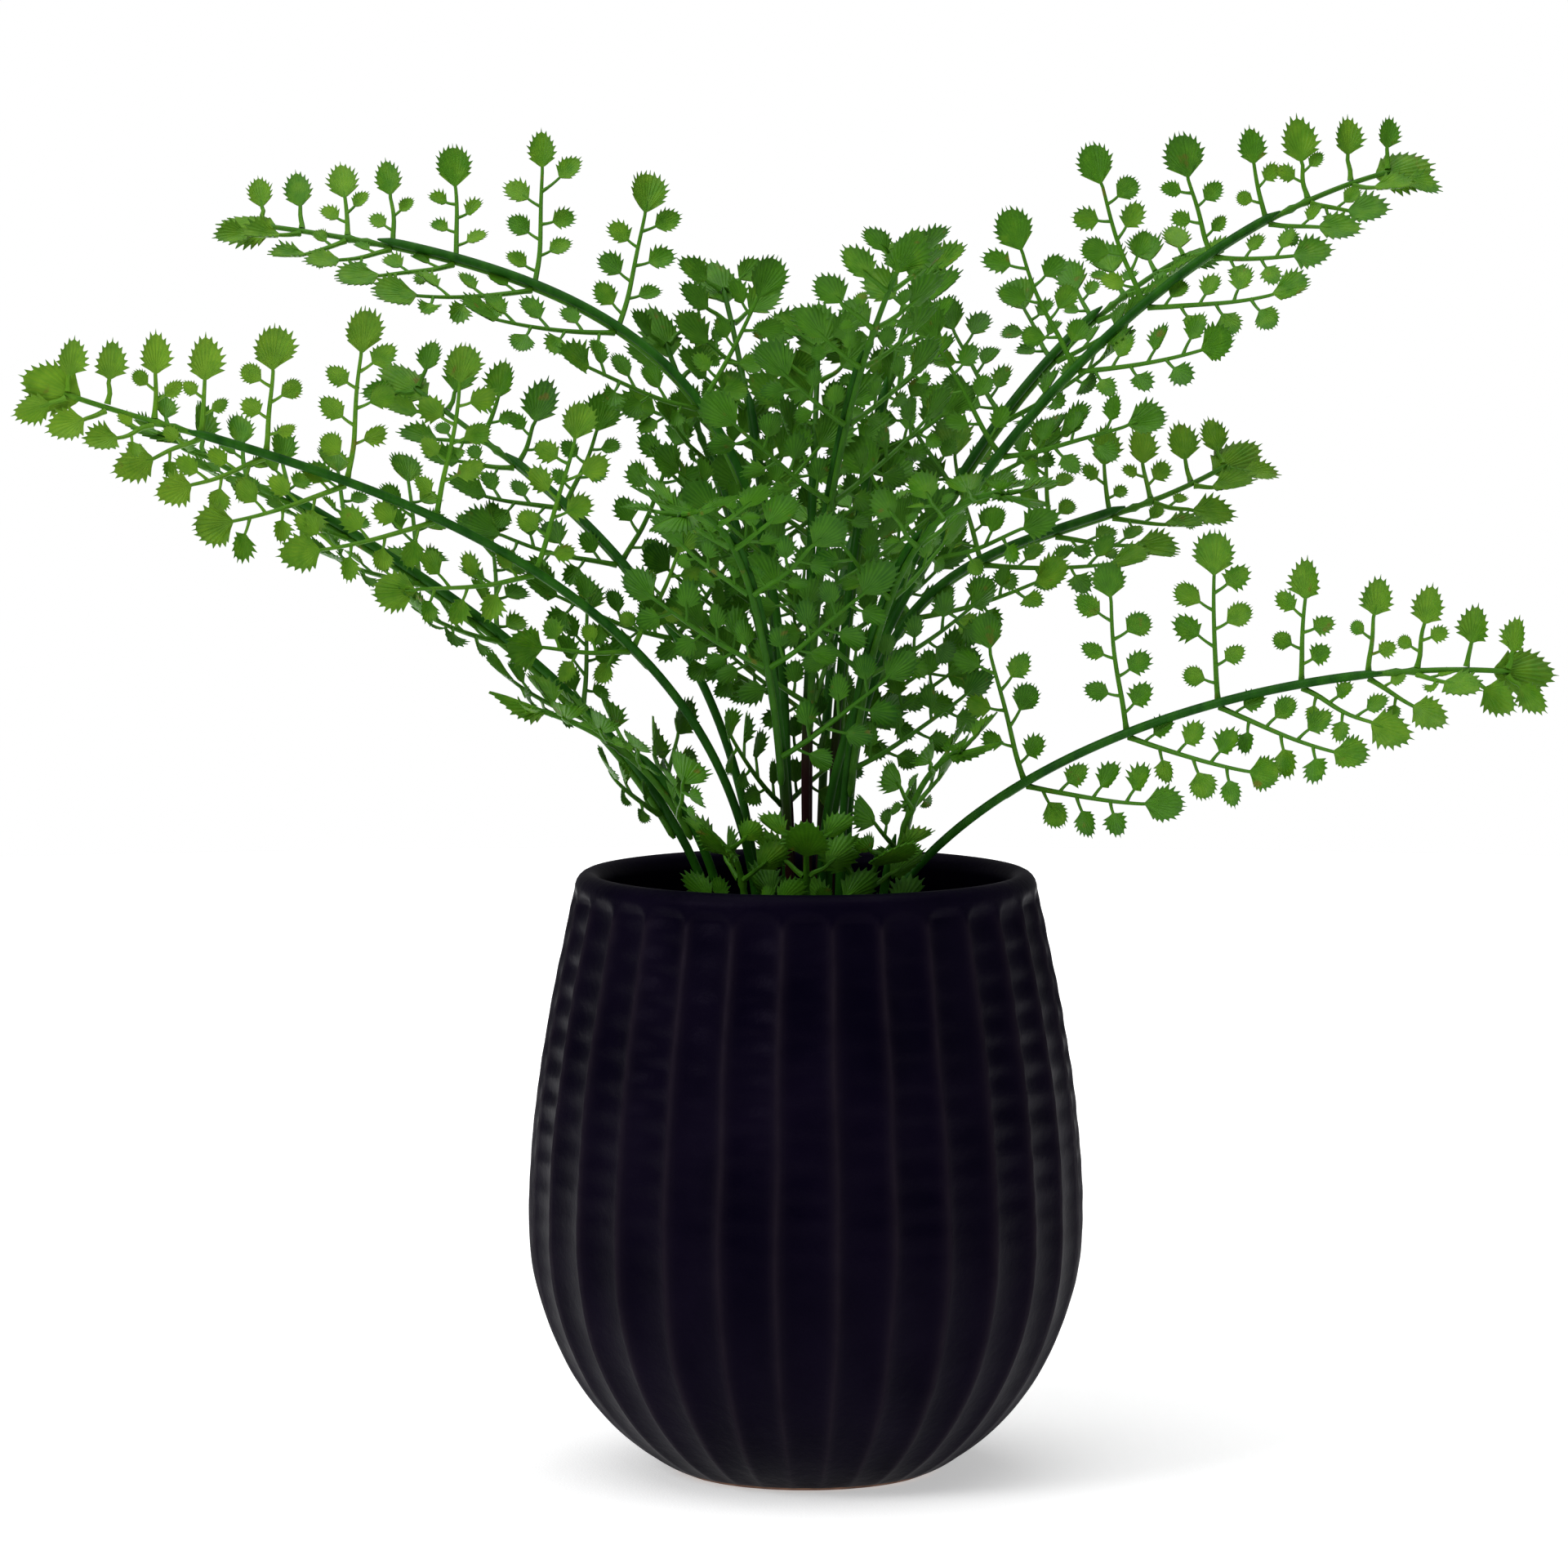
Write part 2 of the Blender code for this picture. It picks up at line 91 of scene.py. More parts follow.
class NodeBench:
    """The node tree of one new material, with short ways to add what the finishes need."""

    def __init__(self, name: str) -> None:
        """Starts a material.

        Args:
            name: The material's name.
        """
        self.material = bpy.data.materials.new(name)
        self.material.use_nodes = True
        self.tree = self.material.node_tree
        self.shader = self.tree.nodes["Principled BSDF"]
        self.place = self.tree.nodes.new("ShaderNodeTexCoord").outputs["Object"]

    def join(self, source: Socket, target: Socket) -> None:
        """Links one socket to another."""
        self.tree.links.new(source, target)

    def noise(self, scale: float, detail: float = 3.0, stretch: Colour = (1, 1, 1)) -> Socket:
        """Adds a noise texture in object space.

        Args:
            scale: Features per metre.
            detail: Octaves.
            stretch: Factors on the three axes.

        Returns:
            The noise's value socket.
        """
        mapping = self.tree.nodes.new("ShaderNodeMapping")
        mapping.inputs["Scale"].default_value = stretch
        self.join(self.place, mapping.inputs["Vector"])
        texture = self.tree.nodes.new("ShaderNodeTexNoise")
        texture.inputs["Scale"].default_value = scale
        texture.inputs["Detail"].default_value = detail
        self.join(mapping.outputs["Vector"], texture.inputs["Vector"])
        return texture.outputs["Fac"]

    def painted(self, paint: Paint) -> Socket:
        """The value painted on the mesh under that name."""
        node = self.tree.nodes.new("ShaderNodeAttribute")
        node.attribute_name = paint.value
        return node.outputs["Fac"]

    def spread(self, value: Socket, low: float, high: float, start: float = 0.0, end: float = 1.0) -> Socket:
        """Maps start to end onto low to high, and clamps.

        Args:
            value: The value to map.
            low: The result at start.
            high: The result at end.
            start: The lower input.
            end: The upper input.

        Returns:
            The mapped value.
        """
        node = self.tree.nodes.new("ShaderNodeMapRange")
        for name, number in (("From Min", start), ("From Max", end), ("To Min", low), ("To Max", high)):
            node.inputs[name].default_value = number
        self.join(value, node.inputs["Value"])
        return node.outputs["Result"]

    def sum(self, first: Socket, second: Socket, operation: str = "ADD") -> Socket:
        """Adds two values, or joins them by another operation of the Math node."""
        node = self.tree.nodes.new("ShaderNodeMath")
        node.operation = operation
        self.join(first, node.inputs[0])
        self.join(second, node.inputs[1])
        return node.outputs["Value"]

    def ramp(self, value: Socket, stops: Sequence[tuple[float, Colour]]) -> Socket:
        """Turns a value into a colour.

        Args:
            value: The value to look up.
            stops: Positions and their colours, in order.

        Returns:
            The colour.
        """
        node = self.tree.nodes.new("ShaderNodeValToRGB")
        elements = node.color_ramp.elements
        while len(elements) < len(stops):
            elements.new(0.5)
        for element, (position, colour) in zip(elements, stops):
            element.position = position
            element.color = (*colour, 1)
        self.join(value, node.inputs["Fac"])
        return node.outputs["Color"]

    def mix(self, factor: Socket, base: Socket, over: Colour) -> Socket:
        """Lays a plain colour over another by a factor."""
        node = self.tree.nodes.new("ShaderNodeMix")
        node.data_type = "RGBA"
        self.join(factor, node.inputs["Factor"])
        self.join(base, node.inputs["A"])
        node.inputs["B"].default_value = (*over, 1)
        return node.outputs["Result"]

    def bump(self, heights: Sequence[tuple[Socket, float]]) -> None:
        """Raises the surface by each height in turn.

        Args:
            heights: Height values and the distance in metres that each stands for.
        """
        last = None
        for height, distance in heights:
            node = self.tree.nodes.new("ShaderNodeBump")
            node.inputs["Distance"].default_value = distance
            self.join(height, node.inputs["Height"])
            if last:
                self.join(last, node.inputs["Normal"])
            last = node.outputs["Normal"]
        self.join(last, self.shader.inputs["Normal"])

    def finish(self, colour: Socket, roughness: Socket, specular: float) -> bpy.types.Material:
        """Feeds the shader.

        Args:
            colour: The base colour.
            roughness: The roughness.
            specular: The specular level.

        Returns:
            The material.
        """
        self.join(colour, self.shader.inputs["Base Color"])
        self.join(roughness, self.shader.inputs["Roughness"])
        self.shader.inputs["Specular IOR Level"].default_value = specular
        return self.material


class Finish(Protocol):
    """A surface finish that can be made into a material."""

    def material(self) -> bpy.types.Material:
        """The finish as a material."""


@dataclass(frozen=True)
class GlazedCeramic:
    """Satin glaze, nearly black, with a painted highlight: its colour is lightened along the flute crests."""

    pool: Colour = (0.0008, 0.0003, 0.0036)
    body: Colour = (0.0026, 0.0015, 0.0064)
    # crest is the lighter colour of the painted highlight along the flute crests.
    crest: Colour = (0.0150, 0.0110, 0.0165)
    specular: float = 0.028
    gleam: Colour = (0.78, 0.64, 1.0)

    def material(self) -> bpy.types.Material:
        """Clouded glaze with an orange-peel skin and a painted highlight on the crests."""
        bench = NodeBench("dark_satin_glaze")
        clouds = bench.noise(38, 4)
        colour = bench.ramp(clouds, ((0.35, self.pool), (0.7, self.body)))
        # Painted highlight: the colour is lightened along the flute crests, where the ridges catch the light.
        crest = bench.sum(bench.painted(Paint.CREST_HIGHLIGHT), bench.spread(bench.noise(120), 0.25, 0.75), "MULTIPLY")
        colour = bench.mix(crest, colour, self.crest)
        roughness = bench.spread(bench.noise(55, 5), 0.36, 0.5, 0.3, 0.7)
        bench.bump(((bench.noise(420, 2), 0.00012), (bench.noise(1900, 2), 0.00003)))
        bench.shader.inputs["Specular Tint"].default_value = (*self.gleam, 1)
        return bench.finish(colour, roughness, self.specular)


@dataclass(frozen=True)
class BareClay:
    """Unglazed red-brown clay of the foot."""

    dark: Colour = (0.10, 0.045, 0.025)
    light: Colour = (0.24, 0.12, 0.07)

    def material(self) -> bpy.types.Material:
        """Gritty clay with iron specks."""
        bench = NodeBench("bare_clay")
        colour = bench.ramp(bench.noise(300, 6), ((0.3, self.dark), (0.7, self.light)))
        roughness = bench.spread(bench.noise(500), 0.8, 0.95)
        bench.bump(((bench.noise(1500, 4), 0.0002),))
        return bench.finish(colour, roughness, 0.3)


@dataclass(frozen=True)
class PottingSoil:
    """Dark peat with paler fibres."""

    peat: Colour = (0.008, 0.005, 0.003)
    fibre: Colour = (0.055, 0.034, 0.019)

    def material(self) -> bpy.types.Material:
        """Crumbly peat."""
        bench = NodeBench("potting_soil")
        crumbs = bench.noise(520, 7)
        colour = bench.ramp(crumbs, ((0.4, self.peat), (0.75, self.fibre)))
        roughness = bench.spread(bench.noise(240), 0.85, 1.0)
        bench.bump(((bench.noise(260, 6), 0.0012), (bench.noise(1400, 4), 0.0004)))
        return bench.finish(colour, roughness, 0.2)


@dataclass(frozen=True)
class CoatedWire:
    """Green coating of the stem wires, purple-brown where a stem is painted as old wood."""

    shade: Colour = (0.005, 0.050, 0.002)
    green: Colour = (0.018, 0.100, 0.004)
    bark: Colour = (0.020, 0.003, 0.005)

    def material(self) -> bpy.types.Material:
        """Streaked coating with faint ridges across it."""
        bench = NodeBench("coated_wire")
        streaks = bench.noise(300, 4, (1, 1, 0.15))
        colour = bench.ramp(streaks, ((0.3, self.shade), (0.7, self.green)))
        colour = bench.mix(bench.painted(Paint.AGE), colour, self.bark)
        roughness = bench.spread(bench.noise(700), 0.36, 0.55)
        bench.bump(((bench.noise(900, 3, (1, 1, 0.3)), 0.00015),))
        return bench.finish(colour, roughness, 0.09)


@dataclass(frozen=True)
class MouldedLeaf:
    """Soft moulded plastic, from deep green to yellow-green, with paler ribs and darker teeth; the deeper
    greens are partly painted shade.
    """

    deep: Colour = (0.008, 0.064, 0.001)
    middle: Colour = (0.046, 0.158, 0.004)
    fresh: Colour = (0.172, 0.325, 0.016)
    rib: Colour = (0.070, 0.225, 0.010)
    tooth: Colour = (0.022, 0.090, 0.006)
    spot: Colour = (0.140, 0.095, 0.012)

    def material(self) -> bpy.types.Material:
        """Clouded satin plastic with a fine moulding grain."""
        bench = NodeBench("moulded_leaf")
        clouds = bench.spread(bench.noise(260, 4), -0.16, 0.16, 0.25, 0.75)
        # The painted leaf tone is partly the leaves' own green and partly painted shade: lower on the fronds
        # in the plant's shaded middle and towards each frond's base.
        tone_and_shade = bench.sum(bench.painted(Paint.TONE_AND_SHADE), clouds)
        colour = bench.ramp(tone_and_shade, ((0.05, self.deep), (0.5, self.middle), (0.95, self.fresh)))
        colour = bench.mix(bench.spread(bench.painted(Paint.VEIN), 0, 0.45), colour, self.rib)
        spots = bench.spread(bench.noise(190, 2), 0, 0.6, 0.68, 0.76)
        colour = bench.mix(spots, colour, self.spot)
        colour = bench.mix(bench.spread(bench.painted(Paint.RIM), 0, 0.6), colour, self.tooth)
        roughness = bench.spread(bench.noise(420, 3), 0.38, 0.56, 0.3, 0.7)
        bench.bump(((bench.noise(1300, 3), 0.00012), (bench.noise(4200, 1), 0.00003)))
        self.soften(bench)
        return bench.finish(colour, roughness, 0.14)

    def soften(self, bench: NodeBench) -> None:
        """Lets a little light through the thin blades."""
        bench.shader.inputs["Subsurface Weight"].default_value = 0.12
        bench.shader.inputs["Subsurface Radius"].default_value = (0.6, 1.0, 0.25)
        bench.shader.inputs["Subsurface Scale"].default_value = 0.0008


@dataclass(frozen=True)
class PaleFloor:
    """White studio paper that glows by itself, a little near the object and more towards its edge: painted
    light that lifts its shadows and fades it into the white.
    """

    paper: Colour = (0.80, 0.80, 0.81)
    fibre: Colour = (0.86, 0.86, 0.86)
    # glow to glow_to: the painted light that the floor gives off, by distance from its middle.
    glow: float = 0.42
    glow_far: float = 0.8
    glow_from: float = 0.25
    glow_to: float = 0.8

    def material(self) -> bpy.types.Material:
        """Fibrous paper that glows by itself, more towards its edge: painted light."""
        bench = NodeBench("pale_floor")
        colour = bench.ramp(bench.noise(900, 5), ((0.3, self.paper), (0.7, self.fibre)))
        roughness = bench.spread(bench.noise(80), 0.75, 0.9)
        bench.bump(((bench.noise(1500, 4), 0.0001),))
        # Painted light: the floor emits light of its own, rising with the distance from the middle, which also
        # lifts the shadow under the pot.
        distance = bench.tree.nodes.new("ShaderNodeVectorMath")
        distance.operation = "LENGTH"
        bench.join(bench.place, distance.inputs[0])
        reach = distance.outputs["Value"]
        lift = bench.spread(reach, self.glow, self.glow_far, self.glow_from, self.glow_to)
        bench.shader.inputs["Emission Color"].default_value = (1, 1, 1, 1)
        bench.join(lift, bench.shader.inputs["Emission Strength"])
        return bench.finish(colour, roughness, 0.2)


# ---------------------------------------------------------------- mesh making


def sleeve(rows: int, columns: int, start: int = 0) -> list[tuple[int, ...]]:
    """The faces of a band of point rings.

    Args:
        rows: How many rings.
        columns: Points in a ring.
        start: The first ring's first point.

    Returns:
        Four-cornered faces, ring by ring.
    """
    faces = []
    for i in range(rows - 1):
        low = start + i * columns
        high = low + columns
        for j in range(columns):
            k = (j + 1) % columns
            faces.append((low + j, low + k, high + k, high + j))
    return faces


class MeshStock:
    """Points, faces and painted values that are gathered for one mesh."""

    def __init__(self, *paints: Paint) -> None:
        """Starts empty.

        Args:
            paints: The values that the mesh carries.
        """
        self.points: list[np.ndarray] = []
        self.faces: list[tuple[int, ...]] = []
        self.paints: dict[Paint, list[np.ndarray]] = {paint: [] for paint in paints}
        self.count = 0

    def add(self, points: np.ndarray, faces: Iterable[Sequence[int]],
            paint: dict[Paint, float | np.ndarray]) -> None:
        """Adds a body.

        Args:
            points: Its points, one row each.
            faces: Its faces, by index in points.
            paint: A value for the whole body or one for each point.
        """
        start = self.count
        self.points.append(np.asarray(points, float))
        self.faces.extend(tuple(i + start for i in face) for face in faces)
        for name, values in self.paints.items():
            values.append(np.broadcast_to(np.asarray(paint.get(name, 0.0), float), (len(points),)))
        self.count += len(points)

    def tube(self, path: Sequence[Vector], radii: Sequence[float], sides: int,
             paint: dict[Paint, float | Sequence[float]]) -> None:
        """Adds a closed round tube.

        Args:
            path: The middles of its rings.
            radii: The radius at each ring.
            sides: Points in a ring.
            paint: A value for the whole tube or one for each ring.
        """
        normal = None
        points = []
        for i, middle in enumerate(path):
            along = (path[min(i + 1, len(path) - 1)] - path[max(i - 1, 0)]).normalized()
            if normal is None:
                normal = along.orthogonal()
            normal = (normal - along * normal.dot(along)).normalized()
            across = along.cross(normal)
            for j in range(sides):
                angle = 2 * math.pi * j / sides
                points.append(middle + (normal * math.cos(angle) + across * math.sin(angle)) * radii[i])
        faces = [tuple(reversed(range(sides)))] + sleeve(len(path), sides)
        last = (len(path) - 1) * sides
        faces.append(tuple(range(last, last + sides)))
        spread = {
            name: np.repeat(value, sides) if isinstance(value, (list, tuple)) else value
            for name, value in paint.items()
        }
        self.add(np.array(points), faces, spread)

    def build(self, name: str, materials: Sequence[bpy.types.Material],
              sharp_degrees: float) -> bpy.types.Object:
        """Makes the object.

        Args:
            name: The piece's name.
            materials: Its materials; all faces get the first.
            sharp_degrees: Edges sharper than this stay crisp.

        Returns:
            The new object, linked to the scene.
        """
        mesh = bpy.data.meshes.new(name)
        mesh.from_pydata(np.concatenate(self.points).tolist(), [], self.faces)
        for paint, values in self.paints.items():
            layer = mesh.attributes.new(paint.value, "FLOAT", "POINT")
            layer.data.foreach_set("value", np.concatenate(values).astype(np.float32))
        for material in materials:
            mesh.materials.append(material)
        mesh.shade_smooth()
        mesh.set_sharp_from_angle(angle=math.radians(sharp_degrees))
        piece = bpy.data.objects.new(name, mesh)
        bpy.context.scene.collection.objects.link(piece)
        return piece


def fasten(piece: bpy.types.Object, node: str) -> None:
    """Puts a piece on the plant's body in place of its plain solid.

    Args:
        piece: The finished piece.
        node: The solid that it replaces.
    """
    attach(piece, BODY)
    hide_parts(node)
    LOG.info("%s: %d faces, for %s", piece.name, len(piece.data.polygons), node)


def bezier(points: Sequence[tuple[float, float]], steps: int) -> list[Vector]:
    """Steps + 1 points along the cubic with these four control points."""
    out = []
    for i in range(steps + 1):
        t = i / steps
        u = 1 - t
        weights = (u**3, 3 * u * u * t, 3 * u * t * t, t**3)
        out.append(sum((Vector(p) * w for p, w in zip(points, weights)), Vector((0, 0))))
    return out


def smoothstep(value: float, start: float, end: float) -> float:
    """0 before start, 1 after end, and an even S between them."""
    share = min(max((value - start) / (end - start), 0.0), 1.0)
    return share * share * (3 - 2 * share)


# ---------------------------------------------------------------- pot and soil


@dataclass
class FlutedPot:
    """The fired pot: an egg-shaped wall with carved flutes, a round lip and a small bare foot."""

    foot_radius: float = 34 * MM
    belly_radius: float = 75 * MM
    belly_height: float = 68 * MM
    lip_outer: float = 62.3 * MM
    lip_inner: float = 54.8 * MM
    lip_height: float = 158 * MM
    lip_rise: float = 4.5 * MM
    shoulder_drop: float = 26 * MM
    shoulder_rise: float = 32 * MM
    outer_flare: float = 5.7 * MM
    inner_flare: float = 6 * MM
    outer_foot_handle: tuple[float, float] = (20 * MM, 8 * MM)
    inner_foot_handle: tuple[float, float] = (14 * MM, 6 * MM)
    inner_bowl_lift: float = 4 * MM
    inner_foot_inset: float = 4 * MM
    outer_steps: tuple[int, int] = (112, 78)
    inner_steps: tuple[int, int] = (22, 8)
    wall: float = 6.5 * MM
    floor: float = 7 * MM
    flutes: int = 30
    columns_per_flute: int = 12
    flute_depth: float = 1.7 * MM
    flute_top: float = 158.4 * MM
    flute_round: float = 0.9
    flute_arch: float = 2.6 * MM
    flute_end: float = 3.2 * MM
    crest_dent: float = 0.14 * MM
    crest_drift: float = 0.75 * MM
    ripple_pitch: float = 8.3 * MM
    ripple_depth: float = 0.34 * MM
    clay_height: float = 1.0 * MM

    def side(self, lip: float, flare: float, bowl: Sequence[tuple[float, float]],
             steps: tuple[int, int]) -> list[Vector]:
        """(radius, height) points down one side of the wall.

        Args:
            lip: The radius under the lip.
            flare: How far the shoulder's upper handle leans out.
            bowl: The last three control points, from the belly to the bottom.
            steps: The runs along the shoulder and along the bowl.

        Returns:
            The points.
        """
        belly = bowl[0][0]
        shoulder = bezier(
            (
                (lip, self.lip_height),
                (lip + flare, self.lip_height - self.shoulder_drop),
                (belly, self.belly_height + self.shoulder_rise),
                (belly, self.belly_height),
            ),
            steps[0],
        )
        return shoulder + bezier(((belly, self.belly_height), *bowl), steps[1])[1:]

    def outer_profile(self) -> list[Vector]:
        """(radius, height) points up the outer side, from the foot to the lip."""
        reach, lift = self.outer_foot_handle
        bowl = (
            (self.belly_radius, self.belly_height / 2),
            (self.foot_radius + reach, lift),
            (self.foot_radius, 0),
        )
        return self.side(self.lip_outer, self.outer_flare, bowl, self.outer_steps)[::-1]

    def inner_profile(self) -> list[Vector]:
        """(radius, height) points down the inner side, from the lip to the floor."""
        reach, lift = self.inner_foot_handle
        bowl = (
            (self.belly_radius - self.wall, self.belly_height / 2 + self.inner_bowl_lift),
            (self.foot_radius + reach, self.floor + lift),
            (self.foot_radius - self.inner_foot_inset, self.floor),
        )
        return self.side(self.lip_inner, self.inner_flare, bowl, self.inner_steps)

    def lip_profile(self, steps: int = 12) -> list[Vector]:
        """(radius, height) points over the lip, from its outer to its inner edge, both left out."""
        middle = (self.lip_inner + self.lip_outer) / 2
        half = (self.lip_outer - self.lip_inner) / 2
        return [
            Vector((
                middle + half * math.cos(math.pi * i / steps),
                self.lip_height + self.lip_rise * math.sin(math.pi * i / steps),
            ))
            for i in range(1, steps)
        ]

    def carve(self, radius: float, height: float, column: int) -> tuple[float, float, float]:
        """The carved outer surface at one column.

        Args:
            radius: The wall's radius before carving.
            height: The height there.
            column: Which column, from 0.

        Returns:
            The carved radius, the crest's sideways drift in metres, and how much of a crest it is, which sets
            how strongly the painted crest highlight shows.
        """
        flute, place = divmod(column, self.columns_per_flute)
        share = place / self.columns_per_flute
        hollow = 4 * share * (1 - share)
        rounded = hollow ** self.flute_round
        top = self.flute_top - self.flute_arch * abs(2 * share - 1) ** 5
        fade = smoothstep(top - height, 0, self.flute_end) * smoothstep(height, -1 * MM, 4 * MM)
        hand = noise.noise(Vector((flute * 7.3, 1.7, height * 45)))
        depth = self.flute_depth * radius / self.belly_radius * (1 + 0.25 * hand)
        upper = smoothstep(height, 35 * MM, 120 * MM)
        strength = (0.7 + 0.3 * math.sin(flute * 2.4 + 0.6)) * (0.12 + 0.88 * upper)
        phase = flute * 1.9 + 2.2 * noise.noise(Vector((flute * 3.1, 8.4, height * 22)))
        ripple = math.cos(2 * math.pi * height / self.ripple_pitch + phase)
        ripple *= self.ripple_depth * strength * (0.25 + 0.75 * hollow)
        nearest = flute + round(share)
        dent = self.crest_dent * noise.noise(Vector((nearest * 5.7, 3.3, height * 130))) * (1 - hollow)
        drift = self.crest_drift * noise.noise(Vector((nearest % self.flutes * 4.1, 6.2, height * 38)))
        carved = radius - fade * (depth * rounded - ripple - dent)
        return carved, fade * drift * (1 - hollow), fade * (1 - hollow) ** 3

    def build(self, glaze: Finish, clay: Finish) -> bpy.types.Object:
        """Turns the wall column by column and dresses it.

        Args:
            glaze: The finish of the pot.
            clay: The finish of its foot.

        Returns:
            The pot.
        """
        outer = self.outer_profile()
        rest = self.lip_profile() + self.inner_profile()
        columns = self.flutes * self.columns_per_flute
        points = [(0.0, 0.0, 0.0)]
        crests = [0.0]
        for row, (radius, height) in enumerate(outer + rest):
            for column in range(columns):
                angle = 2 * math.pi * column / columns
                r, drift, crest = radius, 0.0, 0.0
                if row < len(outer):
                    r, drift, crest = self.carve(radius, height, column)
                angle += drift / radius
                points.append((r * math.cos(angle), r * math.sin(angle), height))
                crests.append(crest)
        points.append((0.0, 0.0, self.floor))
        crests.append(0.0)
        rows = len(outer) + len(rest)
        faces = [(0, 1 + (j + 1) % columns, 1 + j) for j in range(columns)] + sleeve(rows, columns, 1)
        last = 1 + (rows - 1) * columns
        faces += [(last + j, last + (j + 1) % columns, len(points) - 1) for j in range(columns)]
        stock = MeshStock(Paint.CREST_HIGHLIGHT)
        stock.add(np.array(points), faces, {Paint.CREST_HIGHLIGHT: np.array(crests)})
        pot = stock.build("pot_body", [glaze.material(), clay.material()], 60)
        for face in pot.data.polygons:
            if face.center.z < self.clay_height:
                face.material_index = 1
        fasten(pot, "pot")
        return pot


@dataclass
class SoilBed:
    """The fill: a lumpy bed that rises a little to the middle, strewn with crumbs."""

    node: str = "soil"
    rings: int = 46
    columns: int = 150
    skirt: float = 8 * MM
    crumbs: int = 420
    seed: int = 11

    def height(self, x: float, y: float, edge: float, low: float, high: float) -> float:
        """The bed's height at a place.

        Args:
            x: Sideways place.
            y: Place in depth.
            edge: The bed's radius.
            low: Height at the edge.
            high: Height in the middle.

        Returns:
            The height, with its lumps.
        """
        share = math.hypot(x, y) / edge
        lumps = noise.fractal(Vector((x, y, 0.4)) * 95, 0.9, 2.2, 4) * 1.1 * MM
        return low + (high - low) * (1 - share * share) + lumps * (1 - share ** 6)

    def build(self, finish: Finish) -> bpy.types.Object:
        """Builds the bed inside its plain solid and strews it.

        Args:
            finish: The soil's finish.

        Returns:
            The soil.
        """
        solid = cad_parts[self.node].data
        bottom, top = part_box(self.node)
        rim = [v.co for v in solid.vertices if v.co.z > top.z - 3 * MM]
        edge = max(math.hypot(c.x, c.y) for c in rim)
        low = min(c.z for c in rim)
        stock = MeshStock()
        points = [(0.0, 0.0, self.height(0, 0, edge, low, top.z))]
        for i in range(1, self.rings + 1):
            r = edge * i / self.rings
            for j in range(self.columns):
                angle = 2 * math.pi * j / self.columns
                x, y = r * math.cos(angle), r * math.sin(angle)
                points.append((x, y, self.height(x, y, edge, low, top.z)))
        base = len(points)
        for j in range(self.columns):
            angle = 2 * math.pi * j / self.columns
            points.append((edge * math.cos(angle), edge * math.sin(angle), low - self.skirt))
        faces = [(0, 1 + j, 1 + (j + 1) % self.columns) for j in range(self.columns)]
        faces += [(face[0], *face[:0:-1]) for face in sleeve(self.rings + 1, self.columns, 1)]
        faces.append(tuple(reversed(range(base, base + self.columns))))
        stock.add(np.array(points), faces, {})
        self.strew(stock, edge, low, top.z)
        soil = stock.build("soil_bed", [finish.material()], 70)
        fasten(soil, self.node)
        return soil

    def strew(self, stock: MeshStock, edge: float, low: float, high: float) -> None:
        """Drops crumbs of peat on the bed.

        Args:
            stock: Where they go.
            edge: The bed's radius.
            low: The bed's height at its edge.
            high: The bed's height in the middle.
        """
        rng = random.Random(self.seed)
        ball = bpy.data.meshes.new("crumb")
        shape = bmesh.new()
        bmesh.ops.create_icosphere(shape, subdivisions=2, radius=1)
        shape.to_mesh(ball)
        shape.free()
        unit = np.array([v.co for v in ball.vertices])
        faces = [tuple(p.vertices) for p in ball.polygons]
        bpy.data.meshes.remove(ball)
        for _ in range(self.crumbs):
            r = (edge - 2 * MM) * math.sqrt(rng.random())
            angle = rng.uniform(0, 2 * math.pi)
            x, y = r * math.cos(angle), r * math.sin(angle)
            size = rng.uniform(0.5, 1.6) * MM
            stretch = np.array([rng.uniform(0.6, 1.4), rng.uniform(0.6, 1.4), rng.uniform(0.4, 0.8)]) * size
            bumps = [1 + 0.5 * noise.noise(Vector(p) * 1.6 + Vector((x, y, 0)) * 4000) for p in unit]
            middle = (x, y, self.height(x, y, edge, low, high) + 0.2 * size)
            stock.add(unit * np.array(bumps)[:, None] * stretch + middle, faces, {})


# ---------------------------------------------------------------- fronds


@dataclass(frozen=True)
class FrondPlan:
    """One frond's arch and tone. Sizes are in millimetres and degrees.

    heading turns from +X towards +Y. rise and lean are the length and tilt of the lower handle of the
    arch, run and tip are the length and slope of its upper handle. face rolls the spray about its stem,
    and fold lifts its pinnae. Its leaf tone runs from 0 for deep green to 1 for yellow-green; it is partly
    the frond's own green and partly painted shade, set lower for the fronds in the shaded middle of the
    plant. bark is the height up to which its stem is brown.
    """

    name: str
    heading: float
    root: float
    reach: float
    height: float
    rise: float
    lean: float
    run: float
    tip: float
    face: float
    fold: float
    pairs: int
    tone_and_shade: float
    bark: float
